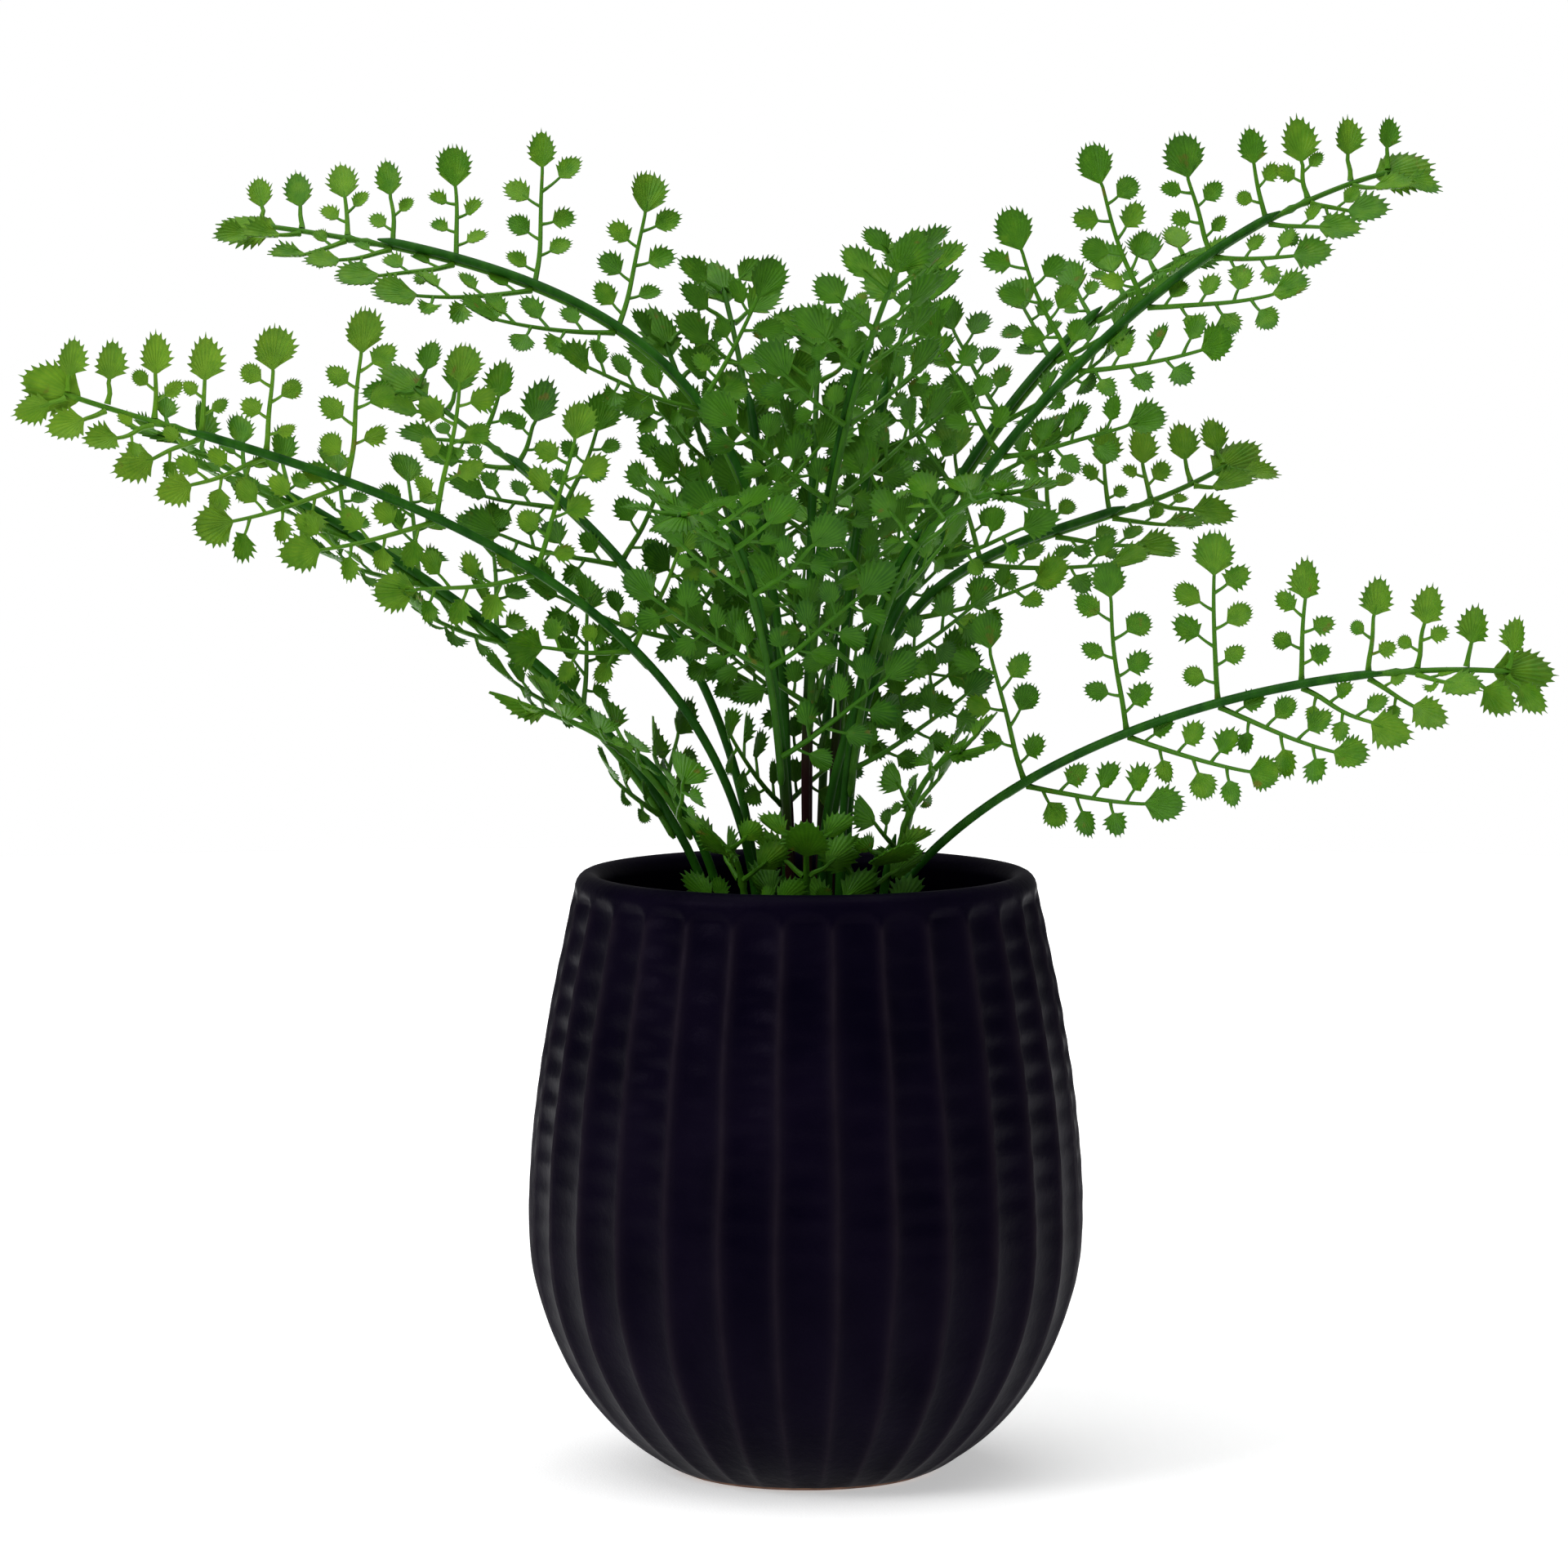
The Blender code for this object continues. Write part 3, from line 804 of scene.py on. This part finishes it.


# The last number but one in each row is the frond's leaf tone: partly its own green, partly painted shade, set
# darker for the fronds in the plant's shaded middle.
FRONDS = (
    FrondPlan("left_low", 197, 13, 211, 298, 125, 0, 40, 30, 85, 8, 9, 0.78, 0),
    FrondPlan("right_low", 346, 15, 201, 219, 62, 20, 60, -8, -82, 8, 8, 0.62, 0),
    FrondPlan("right_high", 12, 6, 174, 353, 80, -12, 90, 8, -60, 10, 9, 0.56, 0),
    FrondPlan("left_high", 168, 6, 163, 338, 140, -2, 150, 6, 45, 10, 9, 0.60, 0),
    FrondPlan("left_mid", 182, 22, 180, 288, 80, 10, 50, 32, 20, 12, 9, 0.50, 0),
    FrondPlan("right_mid", 24, 13, 137, 276, 135, -4, 75, 32, -45, 12, 7, 0.66, 0),
    FrondPlan("left_back", 155, 14, 128, 298, 98, 0, 55, 35, 45, 10, 7, 0.45, 0),
    FrondPlan("right_back", 36, 8, 142, 331, 90, -6, 60, 12, -10, 12, 7, 0.50, 0),
    FrondPlan("front_tall", 296, 4, 64, 337, 100, -10, 50, 40, 0, 10, 8, 0.40, 215),
    FrondPlan("back_left_tall", 130, 8, 64, 314, 80, -8, 40, 60, 0, 10, 8, 0.42, 210),
    FrondPlan("back_tall", 112, 14, 66, 328, 90, 0, 50, 50, 0, 10, 8, 0.38, 205),
    FrondPlan("back_mid_tall", 85, 6, 44, 314, 90, 0, 50, 60, 0, 10, 7, 0.36, 215),
    FrondPlan("back_right_tall", 58, 12, 66, 332, 90, 0, 50, 50, 0, 10, 8, 0.44, 210),
    FrondPlan("front_left", 246, 10, 92, 262, 95, 0, 45, -20, 0, 10, 7, 0.34, 190),
    FrondPlan("front_right", 316, 12, 84, 268, 95, 0, 45, -10, 0, 10, 7, 0.38, 0),
    FrondPlan("left_short", 207, 22, 92, 214, 44, 9, 43, 10, 15, 8, 5, 0.52, 0),
    FrondPlan("right_short", 325, 22, 60, 203, 40, 9, 28, 10, -15, 8, 4, 0.42, 0),
    FrondPlan("back_low", 80, 20, 124, 258, 90, 4, 60, 4, 0, 10, 7, 0.45, 190),
    FrondPlan("rim_left", 232, 22, 42, 178, 26, 5, 14, 10, 0, 6, 3, 0.46, 0),
    FrondPlan("rim_front", 270, 22, 42, 180, 26, 5, 14, 10, 0, 6, 3, 0.42, 0),
    FrondPlan("rim_right", 308, 22, 42, 176, 26, 5, 14, 10, 0, 6, 3, 0.44, 0),
)


@dataclass(frozen=True)
class SprayMould:
    """The sizes that every stem and spray shares, the same as in the plain solids."""

    clearance: float = 0.3 * MM
    stem_radius: float = 1.2 * MM
    root_height: float = 139 * MM
    socket: float = 14 * MM
    leaf_thickness: float = 0.8 * MM
    rib_half_width: float = 0.9 * MM
    leaflet: float = 12 * MM
    tip_leaflet: float = 16 * MM
    spray_lead: float = 8 * MM
    wire_pairs: int = 4
    wire_overrun: float = 4 * MM
    neck: float = 4 * MM
    spread: float = math.radians(60)
    skew: float = math.radians(20)
    bow: float = 0.1
    sag: float = 0.12
    lobe_reach: float = 5 * MM
    lobe_reach_step: float = 1.8 * MM
    fold_tries: tuple[int, ...] = (0, 9, -9, 18, -18, 27, -27, 38, -38, 50, -50)
    pairs: tuple[tuple[float, float, int], ...] = (
        (12 * MM, 14 * MM, 0),
        (23 * MM, 17 * MM, 0),
        (36 * MM, 22 * MM, 2),
        (49 * MM, 25 * MM, 2),
        (67 * MM, 33 * MM, 4),
        (90 * MM, 45 * MM, 6),
        (116 * MM, 46 * MM, 6),
        (147 * MM, 46 * MM, 6),
        (181 * MM, 38 * MM, 4),
    )

    @property
    def rachis_offset(self) -> float:
        """How far the rachis rides behind the middle of the wire."""
        return self.stem_radius + self.clearance + self.leaf_thickness / 2 + 0.1 * MM


MOULD = SprayMould()


class Arch:
    """A frond's centre line, read by distance along it from the soil."""

    SAMPLES = 160
    INWARD = 0.6
    STEP = 2 * MM

    def __init__(self, plan: FrondPlan) -> None:
        """Draws the arch of a plan.

        Args:
            plan: The frond.
        """
        self.plan = plan
        angle = math.radians(plan.heading)
        self.away = Vector((math.cos(angle), math.sin(angle), 0))
        lean, tip = math.radians(plan.lean), math.radians(plan.tip)
        root = Vector((plan.root * MM, MOULD.root_height))
        end = Vector((plan.reach * MM, plan.height * MM))
        handles = (
            root,
            root + plan.rise * MM * Vector((math.sin(lean), math.cos(lean))),
            end - plan.run * MM * Vector((math.cos(tip), math.sin(tip))),
            end,
        )
        self.points = [self.away * r + UP * z for r, z in bezier(handles, self.SAMPLES)]
        self.distances = [0.0]
        for a, b in zip(self.points, self.points[1:]):
            self.distances.append(self.distances[-1] + (b - a).length)
        self.length = self.distances[-1]
        gaps = MOULD.pairs[: plan.pairs]
        self.pairs = [(self.length - gap, length, count) for gap, length, count in gaps[::-1]]
        self.spray_start = self.pairs[0][0] - MOULD.spray_lead
        self.wire_end = self.pairs[-min(MOULD.wire_pairs, len(self.pairs))][0] + MOULD.wire_overrun

    def point(self, distance: float) -> Vector:
        """The point at a distance along the arch."""
        distance = min(max(distance, 0.0), self.length)
        i = int(np.searchsorted(self.distances, distance))
        if i == 0:
            return self.points[0].copy()
        share = (distance - self.distances[i - 1]) / (self.distances[i] - self.distances[i - 1])
        return self.points[i - 1].lerp(self.points[i], share)

    def axes(self, distance: float) -> Axes:
        """The stem's direction, the spray's width and the way that it faces, at a distance."""
        along = (self.point(distance + self.STEP) - self.point(distance - self.STEP)).normalized()
        upward = UP - self.away * self.INWARD
        facing = (upward - along * upward.dot(along)).normalized()
        across = facing.cross(along)
        roll = math.radians(self.plan.face)
        turned = facing * math.cos(roll) + across * math.sin(roll)
        return along, turned.cross(along), turned

    def rachis(self, distance: float) -> Vector:
        """The middle of the rachis, behind the wire, at a distance."""
        return self.point(distance) - self.axes(distance)[2] * MOULD.rachis_offset


class LeafletKind(Enum):
    """The leaflets of the mould."""

    SIDE = "side"
    FAN = "fan"
    END = "end"
    TIP = "tip"


@dataclass(frozen=True)
class LeafletShape:
    """A leaflet one unit long: base and tip bluntness, width, teeth on a side and its hollow forms."""

    half_width: float
    base: float
    tip: float
    teeth: int
    tooth: float
    bare: float
    dome: float
    thickness: float = 0.045
    rib: float = 0.034
    rings: tuple[float, ...] = (0.38, 0.74, 1.0)

    def outline(self, steps: int = 90) -> np.ndarray:
        """(along, half width) points of one side, from the base to the tip."""
        u = (1 - np.cos(np.linspace(0, math.pi, steps + 1))) / 2
        v = u ** self.base * (1 - u) ** self.tip
        return np.stack((u, v / v.max() * self.half_width), 1)

    def samples(self, rng: random.Random) -> list[tuple[float, float, float]]:
        """(share of the side's edge, tooth height, rib) from the base to just before the tip."""
        out = [(self.bare * share, 0.0, 0.0) for share in (0.35, 0.7)]
        pitch = (1 - self.bare) / (self.teeth + 0.5)
        for i in range(self.teeth):
            start = self.bare + pitch * i
            height = self.tooth * rng.uniform(0.75, 1.2)
            out.append((start, 0.0, 0.0))
            out.append((start + 0.14 * pitch, 0.06 * height, 0.4))
            out.append((start + 0.50 * pitch, height, 1.0))
            out.append((start + 0.80 * pitch, 0.06 * height, 0.4))
        out.append((1 - 0.5 * pitch, 0.0, 0.0))
        out.append((1 - 0.16 * pitch, 0.06 * self.tooth, 0.5))
        return out

    def side(self, rng: random.Random) -> list[tuple[np.ndarray, float, float]]:
        """(edge point, tooth height, rib) of each fan line on one side."""
        edge = self.outline()
        lengths = np.concatenate(((0.0,), np.cumsum(np.hypot(*np.diff(edge, axis=0).T))))
        lengths /= lengths[-1]
        lines = []
        for share, height, rib in self.samples(rng):
            spot = np.array([np.interp(share, lengths, edge[:, 0]), np.interp(share, lengths, edge[:, 1])])
            ahead = np.array([np.interp(share + 0.02, lengths, edge[:, 0]),
                              np.interp(share + 0.02, lengths, edge[:, 1])]) - spot
            ahead /= max(np.hypot(*ahead), 1e-9)
            outward = np.array([-ahead[1], ahead[0]]) * 0.85 + ahead * 0.5
            lines.append((spot + outward / np.hypot(*outward) * height, height, rib))
        return lines

    def cast(self, seed: int) -> "Leaflet":
        """Makes one leaflet, with teeth that differ by the seed.

        Args:
            seed: Which leaflet.

        Returns:
            A closed thin body.
        """
        rng = random.Random(seed)
        right = [(spot * (1, -1), height, rib) for spot, height, rib in self.side(rng)]
        left = self.side(rng)
        apex = (np.array([1 + self.tooth, 0.0]), self.tooth, 1.0)
        lines = right + [apex] + left[::-1]
        count = len(lines)
        top, rim, vein = [(0.0, 0.0, 0.0)], [0.0], [1.0]
        for share in self.rings:
            for spot, height, rib in lines:
                u, v = spot * share
                relief = self.rib * rib * share * (1.2 - 0.7 * share)
                top.append((u, v, self.relief(u, v) + relief))
                rim.append(smoothstep(share, 0.8, 1.0) * (0.35 + 0.65 * (height > 0.4 * self.tooth)))
                vein.append(rib * (1 - smoothstep(share, 0.75, 1.0)))
        top = np.array(top)
        depth = np.full(len(top), self.thickness)
        depth[-count:] *= 0.55
        low = top - np.stack((np.zeros(len(top)), np.zeros(len(top)), depth), 1)
        faces = [(0, 1 + k, 2 + k) for k in range(count - 1)]
        for ring in range(len(self.rings) - 1):
            near = 1 + ring * count
            for k in range(near, near + count - 1):
                faces.append((k, k + count, k + count + 1, k + 1))
        under = [tuple(i + len(top) for i in reversed(face)) for face in faces]
        rows = range(len(self.rings))
        last = 1 + (len(self.rings) - 1) * count
        border = [0] + [1 + row * count for row in rows][:-1] + list(range(last, last + count))
        border += [count + row * count for row in reversed(rows)][1:]
        wall = []
        for a, b in zip(border, border[1:] + border[:1]):
            wall.append((a, a + len(top), b + len(top), b))
        return Leaflet(np.concatenate((top, low)), faces + under + wall, np.tile(rim, 2), np.tile(vein, 2))

    def relief(self, u: float, v: float) -> float:
        """The height of the domed blade at a place."""
        return -self.dome * (v / self.half_width) ** 2 - 0.6 * self.dome * u * u + self.dome * 0.5 * u


@dataclass(frozen=True)
class Leaflet:
    """A cast leaflet: points one unit long, faces and painted values."""

    points: np.ndarray
    faces: list[tuple[int, ...]]
    rim: np.ndarray
    vein: np.ndarray


class LeafletBox:
    """The leaflets that the sprays pick from."""

    SHAPES = {
        LeafletKind.SIDE: LeafletShape(0.37, 0.74, 0.66, 5, 0.17, 0.22, 0.13),
        LeafletKind.FAN: LeafletShape(0.39, 0.94, 0.60, 7, 0.13, 0.30, 0.12),
        LeafletKind.END: LeafletShape(0.34, 0.74, 0.84, 6, 0.13, 0.24, 0.13),
        LeafletKind.TIP: LeafletShape(0.34, 0.80, 0.84, 8, 0.10, 0.24, 0.10),
    }
    VARIANTS = 6

    def __init__(self) -> None:
        """Casts each kind a few times."""
        self.cast = {
            kind: [shape.cast(100 * order + i) for i in range(self.VARIANTS)]
            for order, (kind, shape) in enumerate(self.SHAPES.items())
        }


@dataclass
class Growth:
    """What a branch grows with: the mesh it joins, the leaflets to pick from, its tone and its dice."""

    stock: MeshStock
    box: LeafletBox
    tone_and_shade: float
    rng: random.Random

    def lay(self, kind: LeafletKind, base: Vector, axes: Axes, length: float) -> None:
        """Adds a leaflet, a little rolled, pitched and curled by chance.

        Args:
            kind: Which leaflet.
            base: Where its blade starts.
            axes: The way it points, its width and its upper side.
            length: Its length without the end tooth.
        """
        leaflet = self.box.cast[kind][self.rng.randrange(self.box.VARIANTS)]
        ahead, across, upper = axes
        roll, pitch = self.rng.gauss(0, 0.16), self.rng.gauss(0.06, 0.12)
        across = across * math.cos(roll) + upper * math.sin(roll)
        upper = ahead.cross(across)
        ahead = ahead * math.cos(pitch) - upper * math.sin(pitch)
        upper = ahead.cross(across)
        curl = self.rng.uniform(0.5, 1.5)
        width = self.rng.uniform(0.92, 1.08)
        turn = np.array((ahead * length, across * length * width, upper * length))
        points = leaflet.points.copy()
        half = len(points) // 2
        points[:, 2] += (curl - 1) * np.tile(points[:half, 2], 2)
        tone = self.tone_and_shade + self.rng.gauss(0, 0.07)
        paint = {Paint.TONE_AND_SHADE: tone, Paint.RIM: leaflet.rim, Paint.VEIN: leaflet.vein}
        self.stock.add(points @ turn + np.array(base), leaflet.faces, paint)


class CastNode:
    """What the plain solid of a spray says about its pinnae."""

    REACH = 0.6 * MM

    def __init__(self, node: str) -> None:
        """Reads the corners of the solid.

        Args:
            node: The solid's name.
        """
        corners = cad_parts[node].data.vertices
        self.tree = KDTree(len(corners))
        for i, corner in enumerate(corners):
            self.tree.insert(corner.co, i)
        self.tree.balance()

    def holds(self, point: Vector) -> bool:
        """Whether the solid has a corner at a point, give or take its thickness."""
        return self.tree.find(point)[2] < self.REACH


class Pinna:
    """One side branch of a spray: a thin rib in the spray's plane with leaflets on its sides."""

    STALK_SIDES = 6
    STALK_RADII = tuple(radius * MM for radius in (0.62, 0.5, 0.44, 0.42, 0.4, 0.12))
    LONGEST_BLADE = 7.6 * MM
    RIB_SIDES = 7
    RING_GAP = 2.5 * MM

    def __init__(self, root: Vector, axes: Axes, side: int, fold: float, length: float, count: int) -> None:
        """Sets out the branch.

        Args:
            root: Where it leaves the rachis.
            axes: The spray's axes there.
            side: +1 or -1.
            fold: How far it is lifted, in radians.
            length: Its length.
            count: Leaflets on its sides.
        """
        along, across, facing = axes
        spread = MOULD.spread + MOULD.skew * side * across.z
        level = across * side * math.cos(fold) + facing * math.sin(fold)
        self.root = root
        self.outward = along * math.cos(spread) + level * math.sin(spread)
        self.tipward = (along - self.outward * along.dot(self.outward)).normalized()
        self.normal = (self.outward.cross(self.tipward) * side).normalized()
        self.side = side
        self.length = length
        self.count = count

    def place(self, u: float, v: float = 0.0) -> Vector:
        """The point at a distance out along the branch and a shift across it."""
        share = u / self.length
        bow = MOULD.bow * self.length * share * share
        sag = MOULD.sag * self.length * share * share
        return self.root + self.outward * u + self.tipward * (v + bow) - self.normal * sag

    def axes_at(self, u: float, turn: float) -> Axes:
        """The axes of a leaflet at u that is turned from the branch towards its tip side.

        Args:
            u: The distance along the branch.
            turn: The angle in radians.

        Returns:
            The leaflet's direction, width and upper side.
        """
        ahead = (self.place(u + MM) - self.place(u - MM)).normalized()
        upper = (self.normal - ahead * self.normal.dot(ahead)).normalized()
        sideways = upper.cross(ahead) * self.side
        pointing = ahead * math.cos(turn) + sideways * math.sin(turn)
        return pointing, upper.cross(pointing), upper

    def grow(self, growth: Growth) -> int:
        """Adds the branch.

        Args:
            growth: What it grows with.

        Returns:
            How many leaflets it has.
        """
        rng = growth.rng
        end = min(MOULD.leaflet, self.length - MOULD.neck) * rng.uniform(0.80, 1.0)
        stop = self.length - end
        wave = rng.uniform(-0.5, 0.5) * MM
        phase = rng.uniform(0, 2)
        rings = max(5, round(self.length / self.RING_GAP))
        overlap = 0.3 * end
        path = []
        for i in range(rings + 1):
            u = (stop + overlap) * i / rings
            sway = wave * math.sin(math.pi * (2 * i / rings + phase)) * min(1, 4 * i / rings)
            path.append(self.place(u, sway * (u < stop)))
        radii = [(0.78 - 0.34 * i / rings) * MM for i in range(rings)] + [0.16 * MM]
        radii[0] = 0.95 * MM
        growth.stock.tube(path, radii, self.RIB_SIDES, {Paint.TONE_AND_SHADE: growth.tone_and_shade - 0.12, Paint.VEIN: 0.8})
        kind = LeafletKind.FAN if self.count > 2 and rng.random() < 0.7 else LeafletKind.END
        growth.lay(kind, self.place(stop), self.axes_at(stop, 0), end)
        return 1 + self.grow_sides(growth)

    def grow_sides(self, growth: Growth) -> int:
        """Adds the stalked leaflets on the branch's sides.

        Args:
            growth: What they grow with.

        Returns:
            How many there are.
        """
        lobes = self.count // 2
        if not lobes:
            return 0
        rng = growth.rng
        step = (self.length - MOULD.leaflet - MOULD.neck) / lobes
        reach = MOULD.lobe_reach + MOULD.lobe_reach_step * lobes
        first = rng.choice((1, -1))
        for i in range(lobes):
            for half in (1, -1):
                u = MOULD.neck + step * (i + 0.3 + 0.24 * half * first)
                turn = math.radians(rng.gauss(57, 6))
                total = reach / math.sin(turn) * (0.84 + 0.16 * (i + 1) / lobes) * rng.uniform(0.82, 0.98)
                stalk = max(0.34 * total, total - self.LONGEST_BLADE)
                self.stalk_leaflet(growth, u, turn * half, stalk, total - stalk)
        return 2 * lobes

    def stalk_leaflet(self, growth: Growth, u: float, turn: float, stalk: float, blade: float) -> None:
        """Adds one leaflet on its stalk.

        Args:
            growth: What it grows with.
            u: Where it leaves the branch.
            turn: Its angle from the branch.
            stalk: The length of its stalk.
            blade: The length of its blade.
        """
        axes = self.axes_at(u, turn)
        start = self.place(u)
        bend = self.axes_at(u, turn * 1.25)[0]
        base = start + (axes[0] * 0.6 + bend * 0.4) * stalk
        path = []
        for i in range(5):
            t = i / 4
            middle = start + bend * stalk * 0.5
            path.append(start * (1 - t) ** 2 + middle * 2 * t * (1 - t) + base * t * t)
        path.append(base + axes[0] * 0.28 * blade)
        paint = {Paint.TONE_AND_SHADE: growth.tone_and_shade - 0.08, Paint.VEIN: 0.7}
        growth.stock.tube(path, self.STALK_RADII, self.STALK_SIDES, paint)
        kinds = (LeafletKind.SIDE, LeafletKind.SIDE, LeafletKind.FAN, LeafletKind.END)
        growth.lay(growth.rng.choice(kinds), base, axes, blade)


@dataclass
class Frond:
    """A stem and the leaf spray that rides behind it."""

    STRAIGHT = 5 * MM
    WIRE_STEP = 3.5 * MM
    WIRE_SIDES = 12
    BARK_FADE = (30 * MM, 12 * MM)
    RACHIS_STEP = 1.6 * MM
    RACHIS_SIDES = 9
    BUMPS = (3 * MM, 8 * MM)
    BUMP_HEIGHT = 0.45 * MM
    BUMP_LENGTH = 1.2 * MM

    plan: FrondPlan

    def build_stem(self, material: bpy.types.Material) -> bpy.types.Object:
        """Draws the coated wire from its socket to its bare, pointed end.

        Args:
            material: The wire's coating.

        Returns:
            The stem.
        """
        arch = Arch(self.plan)
        root = arch.point(0)
        path = [root - UP * (MOULD.socket - MOULD.clearance), root - UP * self.STRAIGHT]
        count = max(6, round(arch.wire_end / self.WIRE_STEP))
        path += [arch.point(arch.wire_end * i / count) for i in range(count)]
        radii = [MOULD.stem_radius] * len(path)
        radii[-1] = 0.9 * MOULD.stem_radius
        path.append(arch.point(arch.wire_end))
        radii.append(0.22 * MOULD.stem_radius)
        bark = self.plan.bark * MM
        below, above = self.BARK_FADE
        ages = [1 - smoothstep(p.z, bark - below, bark + above) if bark else 0.0 for p in path]
        stock = MeshStock(Paint.AGE)
        stock.tube(path, radii, self.WIRE_SIDES, {Paint.AGE: ages})
        stem = stock.build("wire_" + self.plan.name, [material], 50)
        fasten(stem, "stem_" + self.plan.name)
        return stem

    def build_spray(self, box: LeafletBox, material: bpy.types.Material, seed: int) -> bpy.types.Object:
        """Grows the rachis, its pinnae and the tip leaflet.

        Args:
            box: The leaflets to pick from.
            material: The leaves' plastic.
            seed: Draws the small differences.

        Returns:
            The spray.
        """
        rng = random.Random(seed)
        arch = Arch(self.plan)
        node = "leaves_" + self.plan.name
        solid = CastNode(node)
        stock = MeshStock(Paint.TONE_AND_SHADE, Paint.RIM, Paint.VEIN)
        self.build_rachis(stock, arch)
        leaflets = 1
        for station, length, count in arch.pairs:
            axes = arch.axes(station)
            for side in (1, -1):
                root = arch.rachis(station) + axes[1] * MOULD.rib_half_width * side
                for extra in MOULD.fold_tries:
                    fold = math.radians(self.plan.fold + extra)
                    pinna = Pinna(root, axes, side, fold, length, count)
                    if solid.holds(pinna.place(length)):
                        leaflets += pinna.grow(Growth(stock, box, self.tone(station, arch), rng))
                        break
        base = arch.length - MOULD.tip_leaflet
        axes = arch.axes(arch.length - MOULD.tip_leaflet / 2)
        tip = Growth(stock, box, self.tone(arch.length, arch), rng)
        tip.lay(LeafletKind.TIP, arch.rachis(base), axes, MOULD.tip_leaflet)
        spray = stock.build("spray_" + self.plan.name, [material], 42)
        fasten(spray, node)
        LOG.info("%s: %d leaflets", spray.name, leaflets)
        return spray

    def tone(self, distance: float, arch: Arch) -> float:
        """The tone of the leaves at a distance: yellower towards the frond's tip and darker towards its base,
        partly the leaves' own colour and partly painted shade near the plant's middle.
        """
        return self.plan.tone_and_shade - 0.16 + 0.24 * smoothstep(distance, arch.spray_start, arch.length)

    def build_rachis(self, stock: MeshStock, arch: Arch) -> None:
        """Draws the rib behind the wire, with the two small bumps past the wire's end.

        Args:
            stock: Where it goes.
            arch: The frond's centre line.
        """
        stop = arch.length - 0.7 * MOULD.tip_leaflet
        count = max(8, round((stop - arch.spray_start) / self.RACHIS_STEP))
        path, radii = [], []
        for i in range(count + 1):
            distance = arch.spray_start + (stop - arch.spray_start) * i / count
            share = i / count
            radius = (1.05 - 0.35 * share) * MM
            for bump in self.BUMPS:
                away = (distance - arch.wire_end - bump) / self.BUMP_LENGTH
                radius += self.BUMP_HEIGHT * math.exp(-(away ** 2))
            path.append(arch.rachis(distance))
            radii.append(radius)
        radii[0] = 0.5 * MM
        radii[-1] = 0.25 * MM
        stock.tube(path, radii, self.RACHIS_SIDES, {Paint.TONE_AND_SHADE: self.plan.tone_and_shade - 0.25, Paint.VEIN: 0.5})


# ---------------------------------------------------------------- studio


@dataclass(frozen=True)
class Softbox:
    """One square area lamp, aimed at the plant."""

    name: str
    place: tuple[float, float, float]
    size: float
    power: float
    aim: tuple[float, float, float] = (0.0, 0.0, 0.17)

    def build(self) -> None:
        """Hangs the lamp."""
        lamp = bpy.data.lights.new(self.name, "AREA")
        lamp.shape = "SQUARE"
        lamp.size = self.size
        lamp.energy = self.power
        holder = bpy.data.objects.new(self.name, lamp)
        holder.location = self.place
        holder.rotation_euler = (Vector(self.aim) - Vector(self.place)).to_track_quat("-Z", "Y").to_euler()
        bpy.context.scene.collection.objects.link(holder)
        LOG.info("%s: %.0f W", self.name, self.power)


@dataclass
class Studio:
    """A pale floor, soft lamps, a dim white room and the camera."""

    floor_radius: float = 1.6
    room_light: float = 0.2
    camera_place: tuple[float, float, float] = (-0.0059, -1.8474, 0.3639)
    camera_pitch: float = 0.096
    lens: float = 158.4
    lamps: tuple[Softbox, ...] = (
        Softbox("overhead_softbox", (-0.2, -0.1, 2.4), 3.0, 58),
        Softbox("key_softbox", (-1.7, -1.3, 1.5), 0.9, 26),
        Softbox("fill_softbox", (1.9, -1.3, 1.0), 1.4, 5),
    )

    def build(self, finish: Finish) -> None:
        """Sets the studio up.

        Args:
            finish: The floor's finish.
        """
        self.build_floor(finish)
        self.build_room()
        for lamp in self.lamps:
            lamp.build()
        self.build_camera()
        self.show_plain_colours()

    def build_floor(self, finish: Finish) -> None:
        """Lays the floor."""
        sides = 96
        ring = [
            (self.floor_radius * math.cos(2 * math.pi * i / sides),
             self.floor_radius * math.sin(2 * math.pi * i / sides), 0)
            for i in range(sides)
        ]
        stock = MeshStock()
        stock.add(np.array(ring), [tuple(range(sides))], {})
        stock.build("floor", [finish.material()], 60)

    def build_room(self) -> None:
        """Surrounds the scene with white that lights it only a little."""
        world = bpy.data.worlds.new("white_room")
        world.use_nodes = True
        tree = world.node_tree
        background = tree.nodes["Background"]
        background.inputs["Color"].default_value = (1, 1, 1, 1)
        rays = tree.nodes.new("ShaderNodeLightPath")
        level = tree.nodes.new("ShaderNodeMapRange")
        level.inputs["To Min"].default_value = self.room_light
        level.inputs["To Max"].default_value = 1.0
        tree.links.new(rays.outputs["Is Camera Ray"], level.inputs["Value"])
        tree.links.new(level.outputs["Result"], background.inputs["Strength"])
        bpy.context.scene.world = world

    def build_camera(self) -> None:
        """Places the camera and makes it the scene's."""
        camera = bpy.data.cameras.new("camera")
        camera.lens = self.lens
        camera.sensor_width = 36
        holder = bpy.data.objects.new("camera", camera)
        holder.location = self.camera_place
        holder.rotation_euler = (math.pi / 2 - self.camera_pitch, 0, 0)
        bpy.context.scene.collection.objects.link(holder)
        bpy.context.scene.camera = holder

    def show_plain_colours(self) -> None:
        """Shows the colours as they are, without a film curve."""
        bpy.context.scene.view_settings.view_transform = "Standard"


def main() -> None:
    """Builds the plant from the pot up, and the studio around it."""
    logging.basicConfig(level=logging.INFO)
    FlutedPot().build(GlazedCeramic(), BareClay())
    SoilBed().build(PottingSoil())
    wire = CoatedWire().material()
    leaf = MouldedLeaf().material()
    box = LeafletBox()
    for order, plan in enumerate(FRONDS):
        frond = Frond(plan)
        frond.build_stem(wire)
        frond.build_spray(box, leaf, order)
    Studio().build(PaleFloor())


if __name__ == "__main__":
    main()
